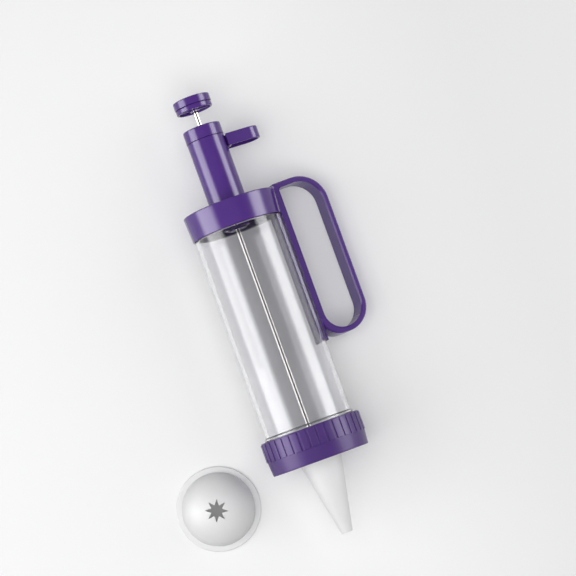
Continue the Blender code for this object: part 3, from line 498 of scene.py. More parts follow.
def thread_ridge(name, root, height, low, pitch_share):
    """Helical ridge of a height out from a wall, or in where it is negative, fading at both ends."""
    inside = -SINK if height > 0 else SINK
    root_half, crest_half = THREAD_ROOT_WIDTH / 2, THREAD_CREST_WIDTH / 2

    def section(share):
        fade = min(1.0, share / THREAD_FADE_SHARE, (1 - share) / THREAD_FADE_SHARE)
        crest = height * max(fade, THREAD_END_SHARE)
        return [(inside, -root_half), (crest, -crest_half), (crest, crest_half), (inside, root_half)]

    start = 2 * math.pi * (low - pitch_share * THREAD_PITCH) / THREAD_PITCH
    return coil(name, root, THREAD_PITCH, THREAD_TURNS, ROUND, low, start, section)


def mating_start(outer_start, direction):
    """Start of the ridge that lets go of a given one after UNSCREW_TURNS, moving along direction."""
    run = THREAD_PITCH * THREAD_TURNS + THREAD_ROOT_WIDTH
    return outer_start - direction * (UNSCREW_TURNS * THREAD_PITCH - run)


# Materials

CLOUD_SCALE = 60
GLOSS_SCALE = 240
GRAIN_SCALE = 2500
GRAIN_DEPTH = 0.05 * MM
STEEL_SCALE = 400
WALL_SCALE = 40
WALL_ROUGHNESS = (0.045, 0.055)


def new_material(name):
    mat = bpy.data.materials.new(name)
    mat.use_nodes = True
    return mat, mat.node_tree.nodes, mat.node_tree.links


def noise(nodes, links, scale, detail=2, stretch=(1, 1, 1)):
    """Noise in the piece's own coordinates, drawn out along an axis where stretch is small."""
    place = nodes.new("ShaderNodeTexCoord")
    scaled = nodes.new("ShaderNodeMapping")
    scaled.inputs["Scale"].default_value = stretch
    texture = nodes.new("ShaderNodeTexNoise")
    texture.inputs["Scale"].default_value = scale
    texture.inputs["Detail"].default_value = detail
    links.new(place.outputs["Object"], scaled.inputs["Vector"])
    links.new(scaled.outputs["Vector"], texture.inputs["Vector"])
    return texture.outputs["Fac"]


def spread(nodes, links, value, low, high):
    """A value from 0 to 1 mapped to a range."""
    step = nodes.new("ShaderNodeMapRange")
    step.inputs["To Min"].default_value = low
    step.inputs["To Max"].default_value = high
    links.new(value, step.inputs["Value"])
    return step.outputs["Result"]


def two_tone(nodes, links, value, first, second, low=0.35, high=0.65):
    """Colour that goes from the first to the second as the value goes from low to high."""
    ramp = nodes.new("ShaderNodeValToRGB")
    ramp.color_ramp.elements[0].color = (*first, 1)
    ramp.color_ramp.elements[1].color = (*second, 1)
    ramp.color_ramp.elements[0].position = low
    ramp.color_ramp.elements[1].position = high
    links.new(value, ramp.inputs["Fac"])
    return ramp.outputs["Color"]


def plastic(name, first, second, roughness, ior=1.5, grain=0.02):
    """Moulded plastic: a faint cloud in the colour, uneven gloss and a fine grain."""
    mat, nodes, links = new_material(name)
    shader = nodes["Principled BSDF"]
    cloud = noise(nodes, links, CLOUD_SCALE, 3)
    links.new(two_tone(nodes, links, cloud, first, second), shader.inputs["Base Color"])
    gloss = noise(nodes, links, GLOSS_SCALE, 4)
    links.new(spread(nodes, links, gloss, *roughness), shader.inputs["Roughness"])
    shader.inputs["IOR"].default_value = ior
    bump = nodes.new("ShaderNodeBump")
    bump.inputs["Strength"].default_value = grain
    bump.inputs["Distance"].default_value = GRAIN_DEPTH
    links.new(noise(nodes, links, GRAIN_SCALE), bump.inputs["Height"])
    links.new(bump.outputs["Normal"], shader.inputs["Normal"])
    return mat


def metal(name, first, second, roughness, stretch=(1, 1, 1)):
    """Steel, uneven in colour and gloss. A small stretch draws this out to fine lines."""
    mat, nodes, links = new_material(name)
    shader = nodes["Principled BSDF"]
    shader.inputs["Metallic"].default_value = 1.0
    uneven = noise(nodes, links, STEEL_SCALE, 3, stretch)
    links.new(two_tone(nodes, links, uneven, first, second), shader.inputs["Base Color"])
    links.new(spread(nodes, links, uneven, *roughness), shader.inputs["Roughness"])
    return mat


def clear_plastic():
    """Clear polished wall that lets the lamps through, dimmed a little."""
    mat, nodes, links = new_material("clear_wall")
    shader = nodes["Principled BSDF"]
    shader.inputs["Base Color"].default_value = (0.84, 0.84, 0.86, 1)
    shader.inputs["Transmission Weight"].default_value = 1.0
    shader.inputs["IOR"].default_value = 1.5
    shader.inputs["Specular IOR Level"].default_value = 0.25
    uneven = noise(nodes, links, WALL_SCALE)
    links.new(spread(nodes, links, uneven, *WALL_ROUGHNESS), shader.inputs["Roughness"])
    return mat


GLOSS_PURPLE = plastic("purple_gloss", (0.074, 0.023, 0.214), (0.080, 0.026, 0.226), (0.16, 0.20))
SATIN_PURPLE = plastic("purple_satin", (0.058, 0.019, 0.160), (0.064, 0.022, 0.172), (0.32, 0.38),
                       ior=1.45, grain=0.05)
WHITE_PLASTIC = plastic("white_moulded", (0.78, 0.78, 0.785), (0.80, 0.80, 0.805), (0.45, 0.52), grain=0.03)
SEAL_RUBBER = plastic("seal_rubber", (0.60, 0.60, 0.58), (0.66, 0.66, 0.64), (0.50, 0.62), grain=0.1)
GRIP_RUBBER = plastic("grip_rubber", (0.028, 0.028, 0.028), (0.036, 0.036, 0.036), (0.6, 0.75), grain=0.2)
ROD_STEEL = metal("rod_steel", (0.64, 0.62, 0.59), (0.70, 0.68, 0.65), (0.10, 0.14), stretch=(1, 0.02, 1))
PLAIN_STEEL = metal("plain_steel", (0.55, 0.54, 0.51), (0.66, 0.65, 0.62), (0.18, 0.30))
CLEAR_WALL = clear_plastic()


def dress(obj, mat, body, slot, *nodes, place=PLACE):
    """Lays a piece down, gives it its material, ties it to its body and hides the CAD nodes it stands for."""
    obj.data.transform(place)
    obj.data.name = obj.name
    obj.data.materials.clear()
    obj.data.materials.append(mat)
    obj.data.shade_smooth()
    obj.data.set_sharp_from_angle(angle=SMOOTH_ANGLE)
    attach(obj, body)
    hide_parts(*nodes)
    return obj


# Pieces of the barrel end

def barrel_shell():
    """Clear tube with a threaded neck and foot and a small bead above the screw ring."""
    shoulder = COLLAR_FOOT - GAP
    bead = RING_HEIGHT + GAP
    shell = turned("barrel_shell", [
        (BORE_RADIUS, BARREL_FOOT, SLIGHT),
        (BARREL_RADIUS, BARREL_FOOT, FULL),
        (BARREL_RADIUS, bead, FINE),
        (BEAD_RADIUS, bead, BEAD_EDGE),
        (BEAD_RADIUS, bead + BEAD_HEIGHT, BEAD_EDGE),
        (BARREL_RADIUS, bead + BEAD_HEIGHT + BEAD_RAMP, BROAD),
        (BARREL_RADIUS, shoulder, BROAD),
        (NECK_RADIUS, shoulder, SLIGHT),
        (NECK_RADIUS, NECK_TOP, BROAD),
        (BORE_RADIUS, NECK_TOP, SLIGHT),
    ])
    neck = thread_ridge("neck_thread", NECK_RADIUS, NECK_THREAD_HEIGHT, NECK_THREAD_LOW, 0)
    foot = thread_ridge("foot_thread", BARREL_RADIUS, RING_THREAD_HEIGHT, FOOT_THREAD_LOW, 0)
    return join(shell, neck, foot)


def pad_columns():
    """(angle, height share) of the points round the pads: flat tops, rounded sides, narrow grooves."""
    pitch = 2 * math.pi / PAD_COUNT
    half = pitch / 2 * PAD_WIDTH_SHARE
    edge = PAD_EDGE / RING_RADIUS
    side = [(half / 2, 1)]
    for k in range(EDGE_STEPS):
        turn = math.pi / 2 * k / (EDGE_STEPS - 1)
        drop = PAD_EDGE / PAD_PROUD * (1 - math.cos(turn))
        side.append((half - edge + edge * math.sin(turn), 1 - drop))
    side += [(half + edge / 3, 0), (pitch / 2 - edge / 2, 0)]
    shape = [(-turn, share) for turn, share in side[::-1]] + side
    return [(pitch * pad + turn, share) for pad in range(PAD_COUNT) for turn, share in shape]


def pad_rows(radius, low, high):
    """(radius, z, height share) of the levels through the pads, which have bevelled ends."""
    end_share = 1 - PAD_EDGE / PAD_PROUD
    return [
        (radius, low + PAD_STEP, end_share),
        (radius, low + PAD_EDGE, 1),
        (radius, high - PAD_EDGE, 1),
        (radius, high, end_share),
        (radius, high + PAD_STEP, 0),
    ]


def screw_ring():
    """Ring with its pads in one surface: each level has its own radius and its share of the pads' height."""
    mouth = TIP_HUB_RADIUS + GAP
    groove = RING_RADIUS - PAD_PROUD
    outline = supported(rounded([
        (mouth, 0, SLIGHT),
        (RING_BAND_RADIUS - RING_BAND_TAPER, 0, RING_EDGE),
        (RING_BAND_RADIUS, RING_BAND_HEIGHT, SLIGHT),
        (groove, RING_BAND_HEIGHT + PAD_RAMP, CRISP),
        (groove, RING_HEIGHT, BROAD),
        (RING_INNER_RADIUS, RING_HEIGHT, SLIGHT),
        (RING_INNER_RADIUS, RING_FLOOR, SLIGHT),
        (mouth, RING_FLOOR, SLIGHT),
    ]))
    # The pads' rows take the place of the groove's two supporting points, before and after its middle
    middle = (RING_BAND_HEIGHT + RING_HEIGHT) / 2
    after = next(i for i, (radius, z) in enumerate(outline) if z > middle)
    low = outline[after - 2][1]
    levels = [(radius, z, 0) for radius, z in outline[:after - 1]]
    levels += pad_rows(groove, low, RING_HEIGHT - RING_EDGE)
    levels += [(radius, z, 0) for radius, z in outline[after + 1:]]
    columns = pad_columns()
    loops = []
    for radius, z, share in levels:
        spokes = [(turn, radius + PAD_PROUD * share * height) for turn, height in columns]
        loops.append([(reach * math.cos(turn), reach * math.sin(turn), z) for turn, reach in spokes])
    ring = loft("grip_ring", loops, closed=True)
    thread_low = mating_start(FOOT_THREAD_LOW, -1)
    return join(ring, thread_ridge("ring_thread", RING_INNER_RADIUS, -RING_THREAD_HEIGHT, thread_low, 1 / 2))


def cone_tip():
    """Round tip: a cone with a hub that fills the ring's mouth and a flange behind it."""
    back = FLANGE_FRONT + TIP_FLANGE_THICK
    bore = TIP_HUB_RADIUS - TIP_WALL
    ceiling = SHOULDER_RECESS + TIP_WALL
    slope = (CONE_RADIUS - OUTLET_RADIUS) / CONE_LENGTH
    return turned("cone_tip", [
        (bore, back, FINE),
        (TIP_FLANGE_RADIUS, back, SOFT),
        (TIP_FLANGE_RADIUS, FLANGE_FRONT, SLIGHT),
        (TIP_HUB_RADIUS, FLANGE_FRONT, FINE),
        (TIP_HUB_RADIUS, SHOULDER_RECESS, BROAD),
        (CONE_RADIUS + slope * SHOULDER_RECESS, SHOULDER_RECESS, CONE_FOOT_ROUND),
        (OUTLET_RADIUS, -CONE_LENGTH, SLIGHT),
        (OUTLET_RADIUS - OUTLET_WALL, -CONE_LENGTH, FINE),
        (CONE_RADIUS - TIP_WALL, ceiling, CONE_INNER_ROUND),
        (bore, ceiling, SOFT),
    ])


def dome_arc(radius, height, low):
    """Quarter ellipse from its rim to its crown, which ends on the axis."""
    points = []
    for i in range(DOME_STEPS + 1):
        turn = math.pi / 2 * i / DOME_STEPS
        points.append((radius * math.cos(turn) if i < DOME_STEPS else 0, low + height * math.sin(turn)))
    return points


def dome_tip():
    """Domed tip with the star cut through its crown."""
    rise = DOME_HEIGHT - TIP_FLANGE_THICK
    flange = rounded([
        (DOME_RADIUS - TIP_WALL, 0, FINE),
        (TIP_FLANGE_RADIUS, 0, SLIGHT),
        (TIP_FLANGE_RADIUS, TIP_FLANGE_THICK, BROAD),
        (DOME_RADIUS, TIP_FLANGE_THICK, 0),
    ])[:-1]
    outer = dome_arc(DOME_RADIUS, rise, TIP_FLANGE_THICK)
    inner = dome_arc(DOME_RADIUS - TIP_WALL, rise - TIP_WALL, TIP_FLANGE_THICK)
    outline = flange + outer + inner[::-1]
    tip = loft("dome_tip", [circle(radius, z, ROUND) for radius, z in outline], closed=True)
    corners = []
    for i in range(2 * STAR_POINTS):
        reach = STAR_INNER_RADIUS if i % 2 else STAR_OUTER_RADIUS
        turn = STAR_TURN + math.pi * i / STAR_POINTS
        corners.append((reach * math.cos(turn), reach * math.sin(turn), SMALL))
    star = rounded(corners, SHARP_EDGE_STEPS)
    return cut(tip, prism("star_cutter", star, DOME_HEIGHT / 2, DOME_HEIGHT + OVERRUN))


def star_place():
    """Matrix that stands the spare tip where its solid is."""
    low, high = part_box("star_tip")
    return Matrix.Translation(((low.x + high.x) / 2, (low.y + high.y) / 2, 0))


# Pieces of the handle end

def handle_moulding():
    """Collar, plate, tower, guide boss and hand loop as one moulding."""
    under_plate = COLLAR_TOP - COLLAR_PLATE
    floor = COLLAR_TOP + TOWER_FLOOR
    rim = CAP_FOOT - GAP
    pocket = GRIP_RADIUS + GAP
    seat = GRIP_LOW + GRIP_THICK + GAP
    body = turned("handle_moulding", [
        (BOSS_RADIUS, COLLAR_FOOT, SOFT),
        (BOSS_RADIUS, under_plate, BROAD),
        (COLLAR_INNER_RADIUS, under_plate, BROAD),
        (COLLAR_INNER_RADIUS, COLLAR_FOOT, FINE),
        (COLLAR_RADIUS - COLLAR_TAPER, COLLAR_FOOT, SLIGHT),
        (COLLAR_RADIUS, COLLAR_TOP, COLLAR_EDGE),
        (TOWER_RADIUS, COLLAR_TOP, TOWER_FILLET),
        (TOWER_RADIUS, rim, KEEN),
        (TOWER_BORE_RADIUS, rim, KEEN),
        (TOWER_BORE_RADIUS, floor, BROAD),
        (ROD_HOLE_RADIUS, floor, FINE),
        (ROD_HOLE_RADIUS, seat, CRISP),
        (pocket, seat, FINE),
        (pocket, COLLAR_FOOT, FINE),
    ])
    low = mating_start(NECK_THREAD_LOW, 1)
    ridge = thread_ridge("collar_thread", COLLAR_INNER_RADIUS, -NECK_THREAD_HEIGHT, low, 1 / 2)
    join(body, hand_loop(), ridge)
    slot_foot = LEVER_FOOT - LEVER_TRAVEL - SLOT_CLEARANCE
    slot_end = (TOWER_RADIUS + OVERRUN, SLOT_HALF, CAP_FOOT + OVERRUN)
    return cut(body, box("slot_cutter", (0, -SLOT_HALF, slot_foot), slot_end))


def heel_arc():
    """Outside of the strap's near lower corner, from the bar round to the foot."""
    turns = [math.pi / 2 * k / CORNER_STEPS for k in range(CORNER_STEPS + 1)]
    return [(BAR_INNER + LOOP_HEEL_ROUND * (1 - math.cos(turn)),
             LOOP_FOOT + LOOP_HEEL_ROUND * (1 - math.sin(turn)), 0) for turn in turns]


def bar_tail():
    """Curved end of the bar past the strap's foot, still solid towards the axis."""
    low = LOOP_FOOT - BAR_TAIL
    high = LOOP_FOOT + LOOP_HEEL_ROUND + STRAP_THICK
    half = STRAP_WIDTH / 2 - STRAP_EDGE / 2
    outer = BAR_INNER + TAIL_THICK
    tail = turned("bar_tail", [(0, low, 0), (outer, low, BROAD), (outer, high, 0), (0, high, 0)])
    room = box("tail_room", (BAR_ROOT / 2, -half, low - OVERRUN), (LOOP_REACH, half, high + OVERRUN))
    return combine(tail, room, "INTERSECT")


def hand_loop():
    """Flat strap bent into a loop with its edges bevelled. Its inner bar is hollowed to follow the barrel."""
    root = COLLAR_INNER_RADIUS + SINK
    top_round = LOOP_TOP_ROUND + STRAP_THICK
    arch_end = LOOP_REACH - top_round
    outer = rounded([
        (BAR_ROOT, LOOP_FOOT + LOOP_HEEL_ROUND, 0),
        *heel_arc(),
        (LOOP_REACH, LOOP_FOOT, LOOP_FOOT_ROUND + STRAP_THICK),
        (LOOP_REACH, LOOP_TOP, top_round),
        (arch_end - LOOP_CORNER_FILLET, LOOP_TOP, LOOP_ARCH_ROUND),
        (root, LOOP_TOP - LOOP_ROOT_DIP, LOOP_ROOT_ROUND),
        (root, COLLAR_CONTACT, 0),
        (BAR_ROOT, COLLAR_CONTACT, 0),
    ], CORNER_STEPS)
    inner_reach = LOOP_REACH - STRAP_THICK
    inner_top = LOOP_TOP - STRAP_THICK
    inner_foot = LOOP_FOOT + STRAP_THICK
    window = rounded([
        (BAR_OUTER, inner_foot, LOOP_NEAR_ROUND),
        (inner_reach, inner_foot, LOOP_FOOT_ROUND),
        (inner_reach, inner_top, LOOP_TOP_ROUND),
        (arch_end, inner_top, LOOP_ARCH_ROUND),
        (BAR_OUTER, inner_top - LOOP_ROOT_DIP, LOOP_CORNER_FILLET),
    ], CORNER_STEPS)
    half = STRAP_WIDTH / 2
    strap = plate("hand_loop", outer, bevel_levels(half, STRAP_EDGE, 1))
    flare = bevel_levels(half, STRAP_EDGE, -1)
    through = [(-half - OVERRUN, -STRAP_EDGE)] + flare + [(half + OVERRUN, -STRAP_EDGE)]
    low = LOOP_FOOT - BAR_TAIL - OVERRUN
    barrel_room = turned("barrel_room", [
        (0, low, 0),
        (BAR_INNER, low, 0),
        (BAR_INNER, COLLAR_FOOT, 0),
        (root, COLLAR_FOOT, 0),
        (root, COLLAR_CONTACT, 0),
        (0, COLLAR_CONTACT, 0),
    ])
    return cut(join(strap, bar_tail()), plate("loop_window", window, through), barrel_room)


def cap_band():
    """Band that closes the tower, with a plug in its bore and a notch for the lever's slot."""
    hollow = CAP_PLUG_RADIUS - CAP_PLUG_WALL
    ceiling = TOWER_TOP - CAP_PLATE
    plug_foot = CAP_FOOT - CAP_PLUG
    cap = turned("cap_band", [
        (ROD_HOLE_RADIUS, ceiling, CRISP),
        (hollow, ceiling, SLIGHT),
        (hollow, plug_foot, FINE),
        (CAP_PLUG_RADIUS, plug_foot, FINE),
        (CAP_PLUG_RADIUS, CAP_FOOT, CRISP),
        (CAP_RADIUS, CAP_FOOT, FINE),
        (CAP_RADIUS, TOWER_TOP, CAP_EDGE),
        (ROD_HOLE_RADIUS, TOWER_TOP, FINE),
    ])
    notch_end = (CAP_RADIUS, SLOT_HALF, CAP_FOOT - GAP / 2)
    return cut(cap, box("cap_notch", (0, -SLOT_HALF, plug_foot - OVERRUN), notch_end))


def lever_outline(inset):
    """The thumb pad's outline, drawn in by a distance, with a round end and one that follows the tower."""
    half = LEVER_WIDTH / 2 - inset
    near = LEVER_ROOT + inset
    far = LEVER_REACH - inset
    start = math.sqrt(near ** 2 - half ** 2)
    corner = max(BROAD - inset, CRISP)
    end_round = half - LEVER_END_SLACK
    sweep = NEAR_ARC_SHARE * math.asin(half / near)
    turns = [sweep - 2 * sweep * k / CORNER_STEPS for k in range(CORNER_STEPS + 1)]
    return rounded([
        (start, -half, corner),
        (far, -half, end_round),
        (far, half, end_round),
        (start, half, corner),
        *[(near * math.cos(turn), near * math.sin(turn), 0) for turn in turns],
    ], 2 * CORNER_STEPS)


def lever_pad():
    """Hollow pad with rounded rims, its neck through the slot and its hub round the rod."""
    ceiling = LEVER_TOP - LEVER_WALL
    middle = LEVER_WIDTH / 2 - LEVER_MIDDLE_HALF
    wall = supported(rounded([
        (middle, ceiling, 0),
        (LEVER_WALL, ceiling, BROAD),
        (LEVER_WALL, LEVER_FOOT, SOFT),
        (0, LEVER_FOOT, BROAD),
        (0, LEVER_TOP, LEVER_TOP_EDGE),
        (middle, LEVER_TOP, 0),
    ]))
    levels = [(inset, z) for inset, z in wall if inset < middle - SUPPORT / 2]
    pad = loft("thumb_pad", [[(x, y, z) for x, y in lever_outline(inset)] for inset, z in levels])
    hub = turned("lever_hub", [
        (ROD_HOLE_RADIUS, LEVER_FOOT, FINE),
        (LEVER_HUB_RADIUS, LEVER_FOOT, SLIGHT),
        (LEVER_HUB_RADIUS, LEVER_TOP, SLIGHT),
        (ROD_HOLE_RADIUS, LEVER_TOP, FINE),
    ], SMALL_ROUND)
    half = NECK_WIDTH / 2
    root = math.sqrt(LEVER_HUB_RADIUS ** 2 - half ** 2) - SINK
    neck_end = (LEVER_ROOT + LEVER_WALL / 2, half, LEVER_TOP - FULL)
    return join(pad, hub, box("lever_neck", (root, -half, LEVER_FOOT + FULL), neck_end))


# Pieces of the plunger

def rod_bar():
    low = PISTON_NUT_LOW - ROD_FOOT_END
    return turned("rod_bar", [
        (0, low, 0),
        (ROD_RADIUS, low, SOFT),
        (ROD_RADIUS, ROD_TOP, SOFT),
        (0, ROD_TOP, 0),
    ], SMALL_ROUND)


def knob_skirt():
    """Lower half of the knob: hollow skirt, hub and ribs, with a spigot for the cover."""
    under_deck = KNOB_DECK_TOP - KNOB_DECK
    inner = KNOB_SKIRT_RADIUS - KNOB_WALL
    spigot = KNOB_RADIUS - KNOB_WALL - GAP
    spigot_bore = spigot - KNOB_SPIGOT_WALL
    spigot_top = KNOB_DECK_TOP + KNOB_SPIGOT
    knob = turned("knob_skirt", [
        (ROD_HOLE_RADIUS, KNOB_FOOT, CRISP),
        (KNOB_HUB_RADIUS, KNOB_FOOT, FINE),
        (KNOB_HUB_RADIUS, under_deck, SLIGHT),
        (inner, under_deck, SLIGHT),
        (inner, KNOB_FOOT, SLIGHT),
        (KNOB_SKIRT_RADIUS, KNOB_FOOT, FULL),
        (KNOB_SKIRT_RADIUS, KNOB_DECK_TOP, SMALL),
        (spigot, KNOB_DECK_TOP, CRISP),
        (spigot, spigot_top, FINE),
        (spigot_bore, spigot_top, FINE),
        (spigot_bore, KNOB_DECK_TOP, FINE),
        (ROD_HOLE_RADIUS, KNOB_DECK_TOP, FINE),
    ])
    half = KNOB_RIB_THICK / 2
    for i in range(KNOB_RIBS):
        rib = box(f"knob_rib_{i}", (KNOB_HUB_RADIUS - SINK, -half, KNOB_FOOT + KNOB_EDGE),
                  (inner + SINK, half, under_deck + SINK))
        rib.data.transform(Matrix.Rotation(2 * math.pi * i / KNOB_RIBS, 4, "Z"))
        join(knob, rib)
    return knob


def knob_top():
    """Cover of the knob, open below, with a groove between it and the skirt."""
    low = KNOB_DECK_TOP + KNOB_GROOVE
    ceiling = KNOB_TOP - KNOB_WALL
    inner = KNOB_RADIUS - KNOB_WALL
    return turned("knob_top", [
        (0, ceiling, 0),
        (inner, ceiling, SOFT),
        (inner, low, FINE),
        (KNOB_RADIUS, low, SLIGHT),
        (KNOB_RADIUS, KNOB_TOP, KNOB_EDGE),
        (0, KNOB_TOP, 0),
    ])


# Pieces inside the handle and the piston

def flat_ring(name, inner, outer, low, thick, edge=FINE):
    """Flat ring with rounded edges."""
    high = low + thick
    corners = [(inner, low, edge), (outer, low, edge), (outer, high, edge), (inner, high, edge)]
    return turned(name, corners, SMALL_ROUND)


def hex_nut(name, low):
    """Hexagon nut with its faces drawn in a little."""
    high = low + NUT_THICK
    corners = [(x, y, CRISP) for x, y, z in circle(NUT_RADIUS, low, NUT_SIDES)]
    outline = rounded(corners, SHARP_EDGE_STEPS)
    levels = [(low, NUT_FACE_SHARE), (low + SLIGHT, 1), (high - SLIGHT, 1), (high, NUT_FACE_SHARE)]
    nut = loft(name, [[(x * share, y * share, z) for x, y in outline] for z, share in levels])
    bore = [(x, y) for x, y, z in circle(ROD_HOLE_RADIUS, low, SMALL_ROUND)]
    return cut(nut, prism(name + "_bore", bore, low - OVERRUN, high + OVERRUN))


def coil_spring():
    wire = [(outward, up) for outward, up, z in circle(SPRING_WIRE / 2, 0, WIRE_SIDES)]
    pitch = SPRING_LENGTH / SPRING_TURNS
    turns, steps = SPRING_TURNS, COIL_STEPS
    return coil("coil_spring", SPRING_RADIUS, pitch, turns, steps, SPRING_LOW, 0, lambda share: wire)


def clutch_plate():
    """Tilted plate that grips the rod."""
    hole = ROD_RADIUS + PLATE_HOLE_SLACK
    disc = flat_ring("clutch_plate", hole, PLATE_RADIUS, -PLATE_THICK / 2, PLATE_THICK)
    tilt = Matrix.Rotation(PLATE_TILT, 4, "Y")
    disc.data.transform(Matrix.Translation((0, 0, LEVER_FOOT - PLATE_DROP)) @ tilt)
    return disc


def snap_retainer():
    """Disc that closes the boss, with a plug in its pocket."""
    flange_top = COLLAR_FOOT - GAP
    flange_foot = flange_top - RETAINER_FLANGE_THICK
    plug_top = COLLAR_FOOT + RETAINER_THICK
    return turned("snap_retainer", [
        (ROD_HOLE_RADIUS, flange_foot, KEEN),
        (RETAINER_FLANGE_RADIUS, flange_foot, SLIGHT),
        (RETAINER_FLANGE_RADIUS, flange_top, KEEN),
        (GRIP_RADIUS, flange_top, CRISP),
        (GRIP_RADIUS, plug_top, FINE),
        (ROD_HOLE_RADIUS, plug_top, KEEN),
    ], SMALL_ROUND)


def piston_plate():
    """Stiff plate of the piston, with its hub."""
    deck = PISTON_FOOT + PISTON_THICK
    return turned("piston_plate", [
        (ROD_HOLE_RADIUS, PISTON_FOOT, FINE),
        (PISTON_DISC_RADIUS, PISTON_FOOT, FINE),
        (PISTON_DISC_RADIUS, deck, FINE),
        (PISTON_HUB_RADIUS, deck, FULL),
        (PISTON_HUB_RADIUS, PISTON_TOP, SOFT),
        (ROD_HOLE_RADIUS, PISTON_TOP, FINE),
    ])


def lip_seal():
    """Soft seal that grips the plate's rim, with a lip at each edge."""
    middle = PISTON_FOOT + PISTON_THICK / 2
    low, high = middle - SEAL_HEIGHT / 2, middle + SEAL_HEIGHT / 2
    under, over = PISTON_FOOT - GAP, PISTON_FOOT + PISTON_THICK + GAP
    outer = BORE_RADIUS - SEAL_CLEARANCE
    waist = outer - SEAL_LIP
    seat = PISTON_DISC_RADIUS + GAP
    grip = seat - SEAL_LIP
    return turned("lip_seal", [
        (grip, low, FINE),
        (outer, low, BROAD),
        (outer, low + SEAL_LIP, SLIGHT),
        (waist, low + 2 * SEAL_LIP, BROAD),
        (waist, high - 2 * SEAL_LIP, BROAD),
        (outer, high - SEAL_LIP, SLIGHT),
        (outer, high, BROAD),
        (grip, high, FINE),
        (grip, over, 0),
        (seat, over, 0),
        (seat, under, 0),
        (grip, under, 0),
    ])


# The studio, with sizes in metres

CAMERA_SPOT = (0.0644, -0.0723, 1.4933)
CAMERA_RIGHT = (0.93949, -0.34069, -0.03588)
CAMERA_DOWN = (-0.34214, -0.93842, -0.04802)
CAMERA_LENS = 137.5
CAMERA_SENSOR = 36.0
CAMERA_CLIP = 0.01

STUDIO_MIDDLE = (0.02, 0.10, 0.03)
LEFT = (-1, 0, 0)
RIGHT = (1, 0, 0)
FRONT = (-0.4, -1, 0)

# Side, degrees from the zenith and height of the two strips
STRIPS = ((LEFT, 62.5, 1.25), (RIGHT, 71.5, 0.86))
STRIP_REACH = 1.1
STRIP_WIDTH = 0.76
STRIP_RADIANCE = 6.8
STRIP_SOFT_SHARE = 0.28
INNER_REACH = 1.13
INNER_WIDTH = 0.78
INNER_RADIANCE = 2.6
INNER_SOFT_SHARE = 0.12

# Side, degrees from the zenith, reach, size and radiance of the plain fills
FILLS = ((LEFT, 55, 1.2, 1.0, 2.2), (RIGHT, 60, 1.2, 1.0, 1.6), (FRONT, 12, 1.6, 1.6, 2.3))

# Greys of the world and the heights, as shares of straight up, between which they change
WORLD_LIGHT = (0.12, 0.06)
WORLD_LIGHT_SHARES = (0.1, 0.75)
WORLD_SEEN = (0.80, 0.20)
WORLD_SEEN_SHARES = (0.3, 0.6)

# Greys of the floor, and its glow from left to right as the camera sees it
FLOOR_HALF = 6.0
FLOOR_DROP = 0.02 * MM
FLOOR_CLOUD_SCALE = 3
FLOOR_LIGHT = (0.64, 0.66)
FLOOR_SEEN = 0.83
FLOOR_ROUGHNESS = 0.9
FLOOR_SPECULAR = 0.1
GLOW = (0.10, 0.02)
GLOW_SPAN = (0.06, 0.20)
GLOW_STRENGTH = 1.0
GLOW_THROUGH_CLEAR = 1.4


def grey(value):
    return (value, value, value)


def add_camera():
    data = bpy.data.cameras.new("camera")
    data.lens = CAMERA_LENS
    data.sensor_width = CAMERA_SENSOR
    data.clip_start = CAMERA_CLIP
    camera = bpy.data.objects.new("camera", data)
    right = Vector(CAMERA_RIGHT).normalized()
    up = -Vector(CAMERA_DOWN)
    up = (up - right * up.dot(right)).normalized()
    place = Matrix((right, up, right.cross(up))).transposed().to_4x4()
    place.translation = CAMERA_SPOT
    camera.matrix_world = place
    bpy.context.scene.collection.objects.link(camera)
    bpy.context.scene.camera = camera


def add_lamp(name, sideways, zenith, reach, width, height, radiance, soft_share=0):
    """Soft box facing the studio's middle, at zenith degrees from straight up towards sideways.

    Its glow fades towards its low and high edges over the soft share of its height.
    """
    data = bpy.data.lights.new(name, "AREA")
    data.shape = "RECTANGLE"
    data.size = width
    data.size_y = height
    data.energy = radiance * math.pi * width * height
    lamp = bpy.data.objects.new(name, data)
    lean = math.radians(zenith)
    away = Vector(sideways).normalized() * math.sin(lean) + Vector((0, 0, math.cos(lean)))
    along = Vector((0, 0, 1)).cross(sideways).normalized()
    place = Matrix((along, away.cross(along), away)).transposed().to_4x4()
    place.translation = Vector(STUDIO_MIDDLE) + away * reach
    lamp.matrix_world = place
    lamp.visible_camera = False
    bpy.context.scene.collection.objects.link(lamp)
    if soft_share:
        fade_edges(data, soft_share)
    return lamp


def fade_edges(data, soft_share):
    data.use_nodes = True
    nodes, links = data.node_tree.nodes, data.node_tree.links
    spot = nodes.new("ShaderNodeNewGeometry")
    split = nodes.new("ShaderNodeSeparateXYZ")
    links.new(spot.outputs["Parametric"], split.inputs["Vector"])
    ramp = nodes.new("ShaderNodeValToRGB")
    ramp.color_ramp.interpolation = "EASE"
    ramp.color_ramp.elements[0].color = (0, 0, 0, 1)
    ramp.color_ramp.elements[1].color = (0, 0, 0, 1)
    for position in (soft_share, 1 - soft_share):
        ramp.color_ramp.elements.new(position).color = (1, 1, 1, 1)
    links.new(split.outputs["Y"], ramp.inputs["Fac"])
    links.new(ramp.outputs["Color"], nodes["Emission"].inputs["Strength"])


